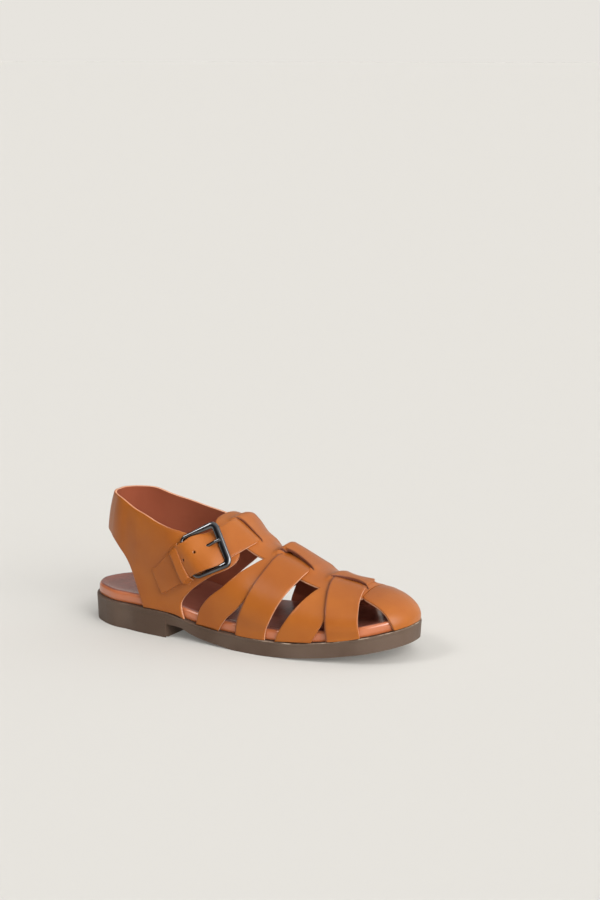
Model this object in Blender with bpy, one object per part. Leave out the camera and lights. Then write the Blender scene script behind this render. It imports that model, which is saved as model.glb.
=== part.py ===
"""Fisherman sandal, one right shoe: outsole, padded insole, strapped leather upper and buckle.

+X runs from the heel to the toe, +Y to the medial side, +Z up, in metres. The shoe stands on z = 0.
"""
import bmesh
import bpy
import numpy as np
from mathutils import Matrix, Vector
from mathutils.geometry import delaunay_2d_cdt
from mathutils.kdtree import KDTree

# Driving sizes
SOLE_LENGTH = 0.262
BALL_WIDTH = 0.092
INSTEP_HEIGHT = 0.086
HEEL_HEIGHT = 0.0191
HEEL_SHARE = 0.316
LEATHER = 0.002
CLEARANCE = 0.0003
UPPER_INSET = 0.0026
INSOLE_INSET = 0.0034
INSOLE_THICKNESS = 0.0072
INSOLE_ROUNDING = 0.0026
SIDE_TAPER = 0.0008
STRAP_WIDTH = 0.0235
BUCKLE_BAR = 0.0029
BUCKLE_ROUNDING = 0.0040
STRAP_PLAY = 0.0020
HINGE_STAND = 0.0018
FRONT_STAND = 0.0012
PRONG_DIAMETER = 0.0022
KEEPER_LEATHER = 0.0015
KEEPER_RISE = 0.0039
FUSE = 0.0004

# The two points that the sections turn about at the heel and the toe, as shares of the length
HEEL_TURN = 0.153
TOE_TURN = 0.878

# Sections of the last. Station is a share of the length. Reach and overhang are shares of the ball
# width, the heights are shares of the instep height, and squareness is the exponent of the upper arc.
LAST_COLUMNS = ("station", "lateral", "medial", "overhang", "wide_height", "top_height", "squareness")
LAST_ROWS = (
    (0.000, 0.435, 0.435, -0.120, 0.70, 1.395, 2.00),
    (0.050, 0.397, 0.408, -0.092, 0.70, 1.395, 2.00),
    (0.100, 0.364, 0.370, -0.063, 0.70, 1.395, 2.00),
    (0.153, 0.370, 0.359, -0.041, 0.70, 1.405, 2.00),
    (0.220, 0.408, 0.359, -0.016, 0.67, 1.420, 2.00),
    (0.290, 0.433, 0.345, 0.011, 0.64, 1.325, 2.40),
    (0.360, 0.449, 0.326, 0.033, 0.58, 1.130, 2.80),
    (0.400, 0.457, 0.324, 0.033, 0.535, 1.000, 2.80),
    (0.430, 0.463, 0.324, 0.027, 0.49, 0.988, 2.70),
    (0.465, 0.472, 0.333, 0.020, 0.44, 0.977, 2.50),
    (0.500, 0.482, 0.349, 0.011, 0.385, 0.919, 2.30),
    (0.540, 0.496, 0.378, 0.007, 0.337, 0.843, 2.15),
    (0.570, 0.507, 0.398, 0.005, 0.302, 0.790, 2.10),
    (0.640, 0.522, 0.450, 0.005, 0.267, 0.727, 2.00),
    (0.710, 0.520, 0.484, 0.005, 0.256, 0.651, 2.00),
    (0.780, 0.493, 0.484, 0.005, 0.256, 0.581, 1.95),
    (0.830, 0.461, 0.460, 0.005, 0.262, 0.547, 1.90),
    (0.878, 0.421, 0.418, 0.003, 0.273, 0.517, 1.90),
    (0.920, 0.380, 0.367, 0.002, 0.290, 0.517, 1.85),
    (0.960, 0.364, 0.348, 0.001, 0.314, 0.517, 1.85),
    (1.000, 0.348, 0.348, 0.001, 0.337, 0.517, 1.85),
)

# The swing of the centre line towards the medial side, as a share of the ball width
SWING_ROWS = ((0.0, 0.0), (0.153, 0.0), (0.5, 0.011), (0.878, 0.0435), (1.0, 0.0435))

# Where the forefoot stands flat on the floor, as shares of the length
FLAT_SHARES = (0.545, 0.625)

# Sole profile along the centre: top and bottom heights as shares of the heel height
SOLE_TOP_ROWS = (
    (0.00, 0.97), (0.15, 0.99), (0.30, 0.99), (0.36, 0.86), (0.42, 0.71), (0.50, 0.607),
    (0.60, 0.580), (0.70, 0.595), (0.80, 0.730), (0.87, 0.890), (0.95, 1.130), (1.00, 1.300),
)
SOLE_BOTTOM_ROWS = (
    (0.345, 0.515), (0.370, 0.465), (0.390, 0.350), (0.420, 0.225), (0.460, 0.125), (0.500, 0.060),
    (FLAT_SHARES[0], 0.0), (FLAT_SHARES[1], 0.0), (0.70, 0.042), (0.80, 0.165), (0.90, 0.375),
    (1.00, 0.660),
)
BREAST_STEP = 0.525

# Strap edges in the last's own coordinates: station is a share of the length, and girth is 0 on the
# ridge, 1 at the widest height and 2 at the sole, negative on the lateral side.
SPINE_LATERAL = ((0.418, 0.02), (0.422, -0.12), (0.433, -0.27), (0.47, -0.32), (0.535, -0.33),
                 (0.585, -0.31), (0.65, -0.34), (0.703, -0.37), (0.758, -0.38), (0.82, -0.36),
                 (0.873, -0.35))
SPINE_MEDIAL = ((0.418, 0.02), (0.419, 0.14), (0.428, 0.25), (0.47, 0.35), (0.535, 0.38), (0.568, 0.37),
                (0.62, 0.35), (0.705, 0.31), (0.765, 0.33), (0.82, 0.34), (0.873, 0.35))
ARM_A_REAR = ((0.60, -0.20), (0.575, -0.40), (0.547, -0.59), (0.515, -0.81), (0.480, -0.97),
              (0.448, -1.29), (0.425, -1.64), (0.417, -2.0))
ARM_A_FRONT = ((0.665, -0.20), (0.620, -0.55), (0.578, -0.81), (0.545, -1.01), (0.522, -1.35),
               (0.505, -1.65), (0.490, -2.0))
ARM_C_REAR = ((0.775, -0.20), (0.758, -0.38), (0.740, -0.57), (0.720, -0.76), (0.693, -0.98),
              (0.678, -1.40), (0.671, -2.0))
ARM_C_FRONT = ((0.850, -0.20), (0.825, -0.52), (0.805, -0.82), (0.792, -1.02), (0.781, -1.45),
               (0.772, -2.0))
ARM_B_REAR = ((0.630, 0.20), (0.600, 0.60), (0.580, 0.81), (0.565, 0.95), (0.552, 1.34), (0.547, 2.0))
ARM_B_FRONT = ((0.712, 0.20), (0.700, 0.43), (0.682, 0.72), (0.660, 0.93), (0.645, 1.34), (0.640, 2.0))
ARM_D_REAR = ((0.800, 0.20), (0.805, 0.50), (0.810, 0.85), (0.811, 1.30), (0.812, 2.0))
ARM_D_FRONT = ((0.858, 0.20), (0.870, 0.35), (0.882, 0.68), (0.885, 1.00), (0.885, 2.0))
CAP_LATERAL = ((0.858, -0.20), (0.873, -0.35), (0.900, -0.44), (0.922, -0.57), (0.935, -0.76),
               (0.941, -1.00), (0.943, -1.50), (0.945, -2.0))
CAP_MEDIAL = ((0.858, 0.20), (0.873, 0.35), (0.900, 0.41), (0.925, 0.48), (0.948, 0.64), (0.957, 0.90),
              (0.957, 1.40), (0.956, 2.0))

# Threaded straps, from the lateral sole edge over the foot to the medial one. Lift is in leathers.
# Rear station, rear girth, front station, front girth and lift in leathers, which may be two lifts.
STRAP_TWO_ROWS = (
    (0.547, -2.00, 0.640, -2.00, 0.00),
    (0.550, -1.40, 0.641, -1.40, 0.10),
    (0.562, -1.02, 0.652, -1.02, 0.45),
    (0.588, -0.72, 0.677, -0.74, 0.75),
    (0.608, -0.42, 0.702, -0.42, 0.80),
    (0.610, -0.19, 0.708, -0.22, 0.78),
    (0.610, 0.02, 0.707, 0.04, 0.10),
    (0.606, 0.21, 0.704, 0.26, 0.78),
    (0.570, 0.44, 0.678, 0.44, 0.80),
    (0.532, 0.66, 0.630, 0.66, 0.75),
    (0.495, 0.90, 0.580, 0.90, 0.45),
    (0.455, 1.22, 0.530, 1.22, 0.10),
    (0.428, 1.60, 0.506, 1.60, 0.00),
    (0.417, 2.00, 0.490, 2.00, 0.00),
)
STRAP_THREE_ROWS = (
    (0.812, -2.00, 0.890, -2.00, 0.00),
    (0.812, -1.40, 0.890, -1.40, 0.10),
    (0.811, -0.95, 0.888, -0.95, 0.45),
    (0.799, -0.66, 0.884, -0.66, 0.75),
    (0.780, -0.38, 0.872, -0.38, 0.80),
    (0.769, -0.19, 0.862, -0.17, 0.78),
    (0.768, 0.02, 0.856, 0.02, 0.10),
    (0.763, 0.22, 0.846, 0.20, 0.78),
    (0.745, 0.42, 0.822, 0.42, 0.80),
    (0.728, 0.62, 0.806, 0.62, 0.75),
    (0.704, 0.88, 0.797, 0.88, 0.45),
    (0.686, 1.20, 0.784, 1.20, 0.10),
    (0.675, 1.60, 0.776, 1.60, 0.00),
    (0.672, 2.00, 0.772, 2.00, 0.00),
)
# The instep strap's medial half, which grows out of the medial quarter
STRAP_MEDIAL_ROWS = (
    (0.400, 0.500, 0.505, 0.600, 0.00),
    (0.436, 0.300, 0.530, 0.430, 0.00),
    (0.465, 0.190, 0.545, 0.270, 0.00),
    (0.469, 0.060, 0.547, 0.080, 0.00),
)
# Its lateral half runs from below bridge one, under the buckle's front bar, over its hinge bar and
# through the keeper to the tail. Its last column is the lift of its edges, which keeps it flat there.
STRAP_LATERAL_ROWS = (
    (0.4690, 0.070, 0.5470, 0.090, 0.25, 0.25),
    (0.4690, -0.060, 0.5480, -0.090, 0.55, 0.55),
    (0.4680, -0.170, 0.5430, -0.230, 0.80, 0.80),
    (0.4620, -0.270, 0.5320, -0.380, 0.85, 0.85),
    (0.4500, -0.370, 0.5140, -0.520, 0.85, 0.85),
    (0.4320, -0.460, 0.4950, -0.640, 1.40, 1.55),
    (0.4080, -0.570, 0.4660, -0.760, 3.00, 3.90),
    (0.3860, -0.660, 0.4400, -0.850, 3.85, 4.75),
    (0.3660, -0.750, 0.4180, -0.930, 2.40, 3.00),
    (0.3480, -0.860, 0.3960, -1.020, 1.35, 1.55),
    (0.3300, -0.940, 0.3700, -1.190, 0.95, 1.00),
    (0.3050, -1.010, 0.3400, -1.400, 0.80, 0.80),
    (0.2800, -1.140, 0.3120, -1.570, 0.80, 0.80),
)

# Quarters and heel band, as girth against station, side by side round the heel
COLLAR_LATERAL = ((0.0, 0.600), (0.05, 0.600), (0.10, 0.605), (0.153, 0.64), (0.20, 0.685), (0.25, 0.71),
                  (0.29, 0.735), (0.34, 0.70), (0.37, 0.62), (0.41, 0.53), (0.46, 0.42), (0.505, 0.36))
COLLAR_MEDIAL = ((0.0, 0.600), (0.05, 0.600), (0.10, 0.605), (0.153, 0.64), (0.20, 0.685), (0.25, 0.71),
                 (0.29, 0.735), (0.34, 0.70), (0.372, 0.62), (0.400, 0.500))
BAND_LOWER = ((0.0, 0.90), (0.05, 0.91), (0.10, 0.94), (0.140, 1.02), (0.170, 1.17), (0.195, 1.36),
              (0.210, 1.53), (0.222, 1.73), (0.238, 2.0))
QUARTER_LATERAL_FRONT = ((0.505, 0.36), (0.527, 0.40), (0.533, 0.49), (0.522, 0.60), (0.487, 0.78),
                         (0.463, 0.88), (0.435, 0.98), (0.410, 1.14), (0.388, 1.38), (0.370, 1.61),
                         (0.364, 1.80), (0.376, 2.0))
QUARTER_MEDIAL_FRONT = ((0.505, 0.600), (0.487, 0.72), (0.463, 0.86), (0.435, 0.98), (0.410, 1.14),
                        (0.388, 1.38), (0.370, 1.61), (0.364, 1.80), (0.376, 2.0))

# Bridges of the spine: centre station and girth, and half lengths, that rise over a threaded strap
# Station and girth of the middle, then half the reach along each.
BRIDGES = (
    (0.508, 0.05, 0.046, 0.21),
    (0.659, 0.02, 0.057, 0.19),
    (0.808, 0.01, 0.053, 0.18),
)

# Where the buckle sits: station and girth of its hinge bar's and its front bar's middle
HINGE_PLACE = (0.409, -0.781)
FRONT_PLACE = (0.4805, -0.456)
# The keeper: its ends beyond the strap's edges, and half its width along the strap
KEEPER_REAR = (0.3420, -0.838)
KEEPER_FRONT = (0.4020, -1.042)
KEEPER_HALF = (0.0080, 0.0420)
KEEPER_RISE_SHARES = (0.0, 0.84, 0.93, 1.0)

# Size of the triangles in the leather, and the stored row's origin: middle of the bounds, on the floor
GRID = 0.0048
ORIGIN = (0.13106, -0.00183, 0.0)


def smooth(rows, at):
    """Height-preserving cubic through (place, value) rows, at the places asked for."""
    table = np.asarray(rows, float)
    x, y = table[:, 0], table[:, 1]
    step = np.diff(x)
    slope = np.diff(y) / step
    inner = np.zeros(len(x))
    same = slope[1:] * slope[:-1] > 0
    near, far = step[1:] + 2 * step[:-1], 2 * step[1:] + step[:-1]
    mean = np.where(same, 1, 0) * (near + far)
    safe_left = np.where(same, slope[:-1], 1.0)
    safe_right = np.where(same, slope[1:], 1.0)
    inner[1:-1] = mean / (near / safe_left + far / safe_right)
    inner[0], inner[-1] = slope[0], slope[-1]
    at = np.clip(np.asarray(at, float), x[0], x[-1])
    row = np.clip(np.searchsorted(x, at, side="right") - 1, 0, len(x) - 2)
    t = (at - x[row]) / step[row]
    rise = y[row] * (1 + 2 * t) * (1 - t) ** 2 + y[row + 1] * t * t * (3 - 2 * t)
    return rise + step[row] * (inner[row] * t * (1 - t) ** 2 - inner[row + 1] * t * t * (1 - t))


def column(name, station):
    """One column of the last's sections at each station."""
    rows = np.asarray(LAST_ROWS)
    return smooth(rows[:, [0, LAST_COLUMNS.index(name)]], station)


def sole_top(x):
    """Height of the outsole's top at a place along the shoe."""
    return HEEL_HEIGHT * smooth(SOLE_TOP_ROWS, x / SOLE_LENGTH)


def sole_bottom(x):
    """Height of the outsole's underside: heel, arch, flat forefoot and toe spring."""
    share = x / SOLE_LENGTH
    rows = ((HEEL_SHARE, BREAST_STEP),) + SOLE_BOTTOM_ROWS
    return np.where(share < HEEL_SHARE, 0.0, HEEL_HEIGHT * smooth(rows, share))


def section_plane(station):
    """Foot of each section's half-plane on the centre line, and its angle from straight ahead."""
    station = np.clip(station, 0.0, 1.0)
    heel, toe = HEEL_TURN, TOE_TURN
    angle = np.pi / 2 * np.ones_like(station)
    angle = np.where(station < heel, np.pi / 2 * (1 + (heel - station) / heel), angle)
    angle = np.where(station > toe, np.pi / 2 * (1 - (station - toe) / (1 - toe)), angle)
    x = np.clip(station, heel, toe) * SOLE_LENGTH
    return x, BALL_WIDTH * smooth(SWING_ROWS, station), angle


def sole_reach(station, side):
    """Distance from the centre line to the sole's edge."""
    return BALL_WIDTH * np.where(side < 0, column("lateral", station), column("medial", station))


def last_point(station, girth):
    """Point of the last: girth 0 on the ridge, 1 at the widest height, 2 at the sole."""
    station, girth = np.broadcast_arrays(np.asarray(station, float), np.asarray(girth, float))
    side = np.where(girth < 0, -1.0, 1.0)
    x, y, angle = section_plane(station)
    reach = sole_reach(station, side) - UPPER_INSET
    wide = reach + BALL_WIDTH * column("overhang", station)
    foot = sole_top(x + (reach + LEATHER) * np.cos(angle)) + CLEARANCE
    wide_height = INSTEP_HEIGHT * column("wide_height", station)
    top_height = INSTEP_HEIGHT * column("top_height", station)
    lower = np.clip(2 - np.abs(girth), 0, 1)
    upper = np.clip(1 - np.abs(girth), 0, 1) * np.pi / 2
    power = 2 / column("squareness", station)
    low_reach = reach + (wide - reach) * lower**2 * (3 - 2 * lower)
    bend = foot + 0.45 * (wide_height - foot)
    low_height = (1 - lower) ** 2 * foot + 2 * lower * (1 - lower) * bend + lower**2 * wide_height
    high_reach = wide * np.maximum(np.cos(upper), 0) ** power
    high_height = wide_height + (top_height - wide_height) * np.sin(upper) ** power
    below = np.abs(girth) >= 1
    out = np.where(below, low_reach, high_reach)
    height = np.where(below, low_height, high_height)
    return np.stack([x + out * np.cos(angle), y + side * out * np.sin(angle), height], -1)


def last_normal(station, girth):
    """Outward normal of the last, by small steps along both coordinates."""
    step = 0.002
    station = np.clip(station, step, 1 - step)
    girth = np.clip(girth, -2 + step, 2 - step)
    girth = np.where(np.abs(girth) < 2 * step, 2 * step, girth)
    along = last_point(station + step, girth) - last_point(station - step, girth)
    across = last_point(station, girth + step) - last_point(station, girth - step)
    normal = np.cross(along, across)
    return normal / np.linalg.norm(normal, axis=-1, keepdims=True)


def lifted(station, girth, lift):
    """Point at a height over the last."""
    return last_point(station, girth) + last_normal(station, girth) * np.asarray(lift)[..., None]


def bridge_lift(station, girth):
    """How far the spine rises over the threaded straps, in metres."""
    rise = np.zeros_like(station)
    for place, centre, half_station, half_girth in BRIDGES:
        along = np.abs(station - place) / half_station
        across = np.abs(girth - centre) / half_girth
        window = np.clip((1.16 - along) / 0.16, 0, 1) * np.clip((1.25 - across) / 0.5, 0, 1)
        rise = np.maximum(rise, window)
    return rise * rise * (3 - 2 * rise) * (LEATHER - FUSE)


def curve_through(points, count):
    """Evenly spread points of a smooth curve through the rows given."""
    table = np.asarray(points, float)
    step = np.hypot(np.diff(table[:, 0]) * SOLE_LENGTH, np.diff(table[:, 1]) * BALL_WIDTH / 2)
    run = np.concatenate([[0.0], np.cumsum(step)])
    at = np.linspace(0, run[-1], count)
    columns = [smooth(np.stack([run, table[:, k]], 1), at) for k in range(table.shape[1])]
    return np.stack(columns, 1)


def edge_length(points):
    """Rough length of an edge table, in metres."""
    table = np.asarray(points, float)
    return np.hypot(np.diff(table[:, 0]) * SOLE_LENGTH, np.diff(table[:, 1]) * BALL_WIDTH / 2).sum()


def edge(points):
    """An edge table as a smooth curve with a point about every grid step."""
    return curve_through(points, max(3, int(edge_length(points) / GRID) + 1))


def new_object(name, mesh, collection, colour=None, roughness=0.5, metallic=0.0):
    """An object in the collection, with its own material if a colour is given."""
    made = bpy.data.objects.new(name, mesh)
    collection.objects.link(made)
    if colour is not None:
        material = bpy.data.materials.new(name)
        material.use_nodes = True
        shader = material.node_tree.nodes["Principled BSDF"]
        shader.inputs["Base Color"].default_value = (*colour, 1)
        shader.inputs["Roughness"].default_value = roughness
        shader.inputs["Metallic"].default_value = metallic
        mesh.materials.append(material)
    return made


def mesh_from(name, points, faces):
    """A triangle mesh from points and faces, without loose points, its normals facing out."""
    work = bmesh.new()
    corners = [work.verts.new(point) for point in np.asarray(points, float) - ORIGIN]
    for face in faces:
        work.faces.new([corners[i] for i in face])
    bmesh.ops.remove_doubles(work, verts=work.verts, dist=1e-5)
    loose = [vertex for vertex in work.verts if not vertex.link_faces]
    bmesh.ops.delete(work, geom=loose, context="VERTS")
    bmesh.ops.recalc_face_normals(work, faces=work.faces)
    bmesh.ops.triangulate(work, faces=work.faces)
    mesh = bpy.data.meshes.new(name)
    work.to_mesh(mesh)
    work.free()
    return mesh


def grid_faces(rows, columns):
    """Quads of a rows by columns grid of points."""
    return [
        (i * columns + j, (i + 1) * columns + j, (i + 1) * columns + j + 1, i * columns + j + 1)
        for i in range(rows - 1)
        for j in range(columns - 1)
    ]


def weld_map(points, reach=2e-5):
    """For each point, the first point that lies at the same place."""
    tree = KDTree(len(points))
    for index, point in enumerate(points):
        tree.insert(point, index)
    tree.balance()
    return np.array([min(hit[1] for hit in tree.find_range(point, reach)) for point in points])


def thick_sheet(name, stations, girths, lifts, faces, thickness=LEATHER):
    """A closed solid: the sheet's points at their lifts, and again one thickness further out."""
    inner = lifted(stations, girths, lifts)
    outer = lifted(stations, girths, np.asarray(lifts) + thickness)
    same = weld_map(inner)
    rings = [tuple(int(same[i]) for i in face) for face in faces]
    rings = [ring for ring in rings if len(set(ring)) == len(ring)]
    count = len(inner)
    sides = {}
    for ring in rings:
        for start, end in zip(ring, ring[1:] + ring[:1]):
            sides[start, end] = sides.get((start, end), 0) + 1
    rim = [side for side in sides if side[::-1] not in sides]
    solid = [ring[::-1] for ring in rings]
    solid += [tuple(i + count for i in ring) for ring in rings]
    solid += [(start, end, end + count, start + count) for start, end in rim]
    return mesh_from(name, np.concatenate([inner, outer]), solid)


def polygon_sheet(polygons, spread):
    """Triangles that fill polygons drawn in sheet coordinates, and their points.

    Spread turns the two sheet coordinates into lengths, so that the triangles come out even.
    """
    points, faces = [], []
    for polygon in polygons:
        start = len(points)
        points += [Vector((a * spread[0], b * spread[1])) for a, b in polygon]
        faces.append(list(range(start, len(points))))
    flat = np.array([tuple(p) for p in points])
    low, high = flat.min(0), flat.max(0)
    for a in np.arange(low[0] + GRID / 2, high[0], GRID):
        for b in np.arange(low[1] + GRID / 2, high[1], GRID):
            here = np.array((a, b))
            if np.hypot(*(flat - here).T).min() < 0.45 * GRID:
                continue
            if any(inside(here, flat[list(face)]) for face in faces):
                points.append(Vector((a, b)))
    spots, _, triangles, *_ = delaunay_2d_cdt(points, [], faces, 1, 1e-6)
    spots = np.array([tuple(p) for p in spots])
    return spots / np.asarray(spread), [tuple(t) for t in triangles]


def inside(point, polygon):
    """Whether a flat point lies inside a polygon."""
    a, b = polygon, np.roll(polygon, -1, 0)
    crosses = (a[:, 1] > point[1]) != (b[:, 1] > point[1])
    rise = np.where(crosses, b[:, 1] - a[:, 1], 1.0)
    reach = a[:, 0] + (point[1] - a[:, 1]) * (b[:, 0] - a[:, 0]) / rise
    return bool((crosses & (point[0] < reach)).sum() % 2)


def ribbon(name, rows, across=6, thickness=LEATHER, step=GRID):
    """A strap as one closed solid, from its table of rear edge, front edge and lift."""
    table = np.asarray(rows, float)
    middle = (table[:, 0:2] + table[:, 2:4]) / 2
    run = np.hypot(np.diff(middle[:, 0]) * SOLE_LENGTH, np.diff(middle[:, 1]) * BALL_WIDTH / 2)
    run = np.concatenate([[0.0], np.cumsum(run)])
    count = max(4, int(run[-1] / step) + 1)
    at = np.linspace(0, run[-1], count)
    columns = [smooth(np.stack([run, table[:, k]], 1), at) for k in range(table.shape[1])]
    share = np.linspace(0, 1, across)[None, :]
    station = columns[0][:, None] * (1 - share) + columns[2][:, None] * share
    girth = columns[1][:, None] * (1 - share) + columns[3][:, None] * share
    edge_lift = columns[-1][:, None]
    lift = (columns[4][:, None] + (edge_lift - columns[4][:, None]) * (2 * share - 1) ** 2) * LEATHER
    faces = grid_faces(count, across)
    return thick_sheet(name, station.ravel(), girth.ravel(), lift.ravel(), faces, thickness)


def spider_mesh():
    """Spine, four arms and toe cap, die-cut as one piece that rises over the threaded straps."""
    polygons = [np.concatenate([edge(SPINE_LATERAL), edge(SPINE_MEDIAL)[:0:-1]])]
    arms = ((ARM_A_REAR, ARM_A_FRONT), (ARM_C_REAR, ARM_C_FRONT), (ARM_B_REAR, ARM_B_FRONT),
            (ARM_D_REAR, ARM_D_FRONT))
    for rear, front in arms:
        polygons.append(np.concatenate([edge(rear), edge(front)[::-1]]))
    lateral, medial = edge(CAP_LATERAL), edge(CAP_MEDIAL)
    centre = np.linspace(-2, 2, 45)[1:-1]
    tip = np.stack([np.ones(len(centre)), centre], 1)
    lateral_sole = np.stack([np.linspace(lateral[-1, 0], 1, 6)[1:], -2 * np.ones(5)], 1)
    medial_sole = np.stack([np.linspace(1, medial[-1, 0], 6)[:-1], 2 * np.ones(5)], 1)
    cap = np.concatenate([lateral, lateral_sole, tip, medial_sole, medial[::-1]])
    polygons.append(cap)
    spots, faces = polygon_sheet(polygons, (SOLE_LENGTH, BALL_WIDTH / 2))
    station, girth = spots[:, 0], spots[:, 1]
    return thick_sheet("spider", station, girth, bridge_lift(station, girth), faces)


def quarter_mesh():
    """Both quarters, the heel band between them and the medial half of the instep strap."""
    def side_of(points, sign):
        curve = edge(points)
        return np.stack([sign * curve[:, 0], curve[:, 1]], 1)

    def sole_run(start, end, sign):
        run = np.linspace(start, end, 8)[1:-1]
        return np.stack([sign * run, 2 * np.ones(len(run))], 1)

    rows = np.asarray(STRAP_MEDIAL_ROWS)
    share = np.linspace(0, 1, 6)[:, None]
    cut = rows[0, 0:2] * (1 - share) + rows[0, 2:4] * share
    outline = np.concatenate([
        side_of(QUARTER_LATERAL_FRONT, -1)[::-1],
        side_of(COLLAR_LATERAL, -1)[::-1][1:],
        side_of(COLLAR_MEDIAL, 1)[1:],
        cut[1:],
        side_of(QUARTER_MEDIAL_FRONT, 1)[1:],
        sole_run(QUARTER_MEDIAL_FRONT[-1][0], BAND_LOWER[-1][0], 1),
        side_of(BAND_LOWER, 1)[::-1],
        side_of(BAND_LOWER, -1)[1:],
        sole_run(BAND_LOWER[-1][0], QUARTER_LATERAL_FRONT[-1][0], -1),
    ])
    spots, faces = polygon_sheet([outline], (SOLE_LENGTH, BALL_WIDTH / 2))
    station = np.abs(spots[:, 0])
    girth = np.where(spots[:, 0] < 0, -spots[:, 1], spots[:, 1])
    table = curve_through(rows, 9)
    across = share.T
    strap_station = table[:, 0:1] * (1 - across) + table[:, 2:3] * across
    strap_girth = table[:, 1:2] * (1 - across) + table[:, 3:4] * across
    strap_faces = [tuple(i + len(spots) for i in face) for face in grid_faces(9, 6)]
    station = np.concatenate([station, strap_station.ravel()])
    girth = np.concatenate([girth, strap_girth.ravel()])
    lift = np.zeros(len(station))
    return thick_sheet("quarters", station, girth, lift, faces + strap_faces)


def join_meshes(name, meshes, collection, helpers, colour, roughness):
    """One closed solid from several that cross, by exact unions."""
    base = new_object(name, meshes[0], collection, colour, roughness)
    for index, mesh in enumerate(meshes[1:]):
        other = new_object(f"{name}_strip_{index}", mesh, helpers)
        other.hide_render = True
        other.display_type = "WIRE"
        union = base.modifiers.new(mesh.name, "BOOLEAN")
        union.operation = "UNION"
        union.solver = "EXACT"
        union.object = other
    return base


def plate(name, layers, collection, colour, roughness, breaks=(), marks=()):
    """A closed slab through rings (inset, height function), the first at the bottom.

    Breaks are stations of a step in height, and marks are stations that get a row of points.
    """
    across = 7
    station = np.concatenate([
        np.linspace(0, HEEL_TURN, 14), np.linspace(HEEL_TURN, TOE_TURN, 22)[1:],
        np.linspace(TOE_TURN, 1, 14)[1:], marks,
    ])
    for place in breaks:
        station = np.concatenate([station, [place - 0.0004, place + 0.0004]])
    station = np.sort(station)
    share = np.linspace(-1, 1, across)
    points, index = [], {}

    def sheet(inset, height):
        rows = []
        for s in station:
            row = []
            for f in share:
                x, y, angle = (float(v) for v in section_plane(np.array(s)))
                reach = abs(f) * (float(sole_reach(np.array(s), np.sign(f) or 1.0)) - inset)
                px, py = x + reach * np.cos(angle), y + np.sign(f) * reach * np.sin(angle)
                row.append(len(points))
                points.append((px, py, float(height(np.array(px), reach))))
            rows.append(row)
        return rows

    faces = []
    grids = [sheet(inset, height) for inset, height in layers]
    for grid, turn in ((grids[0], 1), (grids[-1], -1)):
        for i in range(len(station) - 1):
            for j in range(across - 1):
                ring = (grid[i][j], grid[i + 1][j], grid[i + 1][j + 1], grid[i][j + 1])
                faces.append(ring[::turn])
    for low, high in zip(grids[:-1], grids[1:]):
        for j in (0, across - 1):
            for i in range(len(station) - 1):
                faces.append((low[i][j], low[i + 1][j], high[i + 1][j], high[i][j]))
    return new_object(name, mesh_from(name, points, faces), collection, colour, roughness)


def build_outsole(collection):
    """Moulded outsole with its heel, arch, flat forefoot and toe spring."""
    under = (SIDE_TAPER, lambda x, reach: sole_bottom(x))
    over = (0.0, lambda x, reach: sole_top(x))
    return plate("outsole", [under, over], collection, (0.13, 0.09, 0.065), 0.62,
                 breaks=(HEEL_SHARE,), marks=FLAT_SHARES)


def build_insole(collection):
    """Leather-wrapped padded insole with a rounded top edge."""
    def at(share):
        return lambda x, reach: sole_top(x) + CLEARANCE + share * INSOLE_THICKNESS
    side = 1 - INSOLE_ROUNDING / INSOLE_THICKNESS
    layers = [
        (INSOLE_INSET, at(0.0)),
        (INSOLE_INSET, at(side)),
        (INSOLE_INSET + 0.29 * INSOLE_ROUNDING, at(side + 0.71 * (1 - side))),
        (INSOLE_INSET + INSOLE_ROUNDING, at(1.0)),
    ]
    return plate("insole", layers, collection, (0.33, 0.10, 0.05), 0.3)


def strap_point(place, lift):
    """A point over the last, as a vector."""
    return Vector(lifted(np.array(place[0]), np.array(place[1]), np.array(lift)))


def bar(name, points, radius, collection, colour, roughness, metallic, cyclic=False):
    """A round metal bar through points, as a curve with a bevel and filled caps."""
    curve = bpy.data.curves.new(name, "CURVE")
    curve.dimensions = "3D"
    curve.bevel_depth = radius
    curve.bevel_resolution = 3
    curve.use_fill_caps = True
    run = curve.splines.new("POLY")
    run.points.add(len(points) - 1)
    for spot, point in zip(run.points, points):
        spot.co = (*(point - Vector(ORIGIN)), 1)
    run.use_cyclic_u = cyclic
    return new_object(name, curve, collection, colour, roughness, metallic)


def rounded_rectangle(length, width, rounding, corner_steps=5):
    """Flat points round a rectangle with rounded corners."""
    points = []
    for corner, (sx, sy) in enumerate(((1, 1), (-1, 1), (-1, -1), (1, -1))):
        cx, cy = sx * (length / 2 - rounding), sy * (width / 2 - rounding)
        for k in range(corner_steps + 1):
            turn = np.pi / 2 * (corner + k / corner_steps)
            points.append(Vector((cx + rounding * np.cos(turn), cy + rounding * np.sin(turn), 0)))
    return points


def buckle_frame_matrix():
    """Place of the buckle: x from the hinge bar to the front bar, y across the strap, z outwards."""
    hinge = strap_point(HINGE_PLACE, LEATHER + HINGE_STAND + BUCKLE_BAR / 2)
    front = strap_point(FRONT_PLACE, 2 * LEATHER + FRONT_STAND + BUCKLE_BAR / 2)
    along = (front - hinge).normalized()
    normal = 0.65 * Vector(last_normal(np.array(HINGE_PLACE[0]), np.array(HINGE_PLACE[1])))
    normal += 0.35 * Vector(last_normal(np.array(FRONT_PLACE[0]), np.array(FRONT_PLACE[1])))
    across = normal.cross(along).normalized()
    frame = Matrix((along, across, along.cross(across))).transposed().to_4x4()
    frame.translation = (hinge + front) / 2
    return frame, (front - hinge).length


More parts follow.
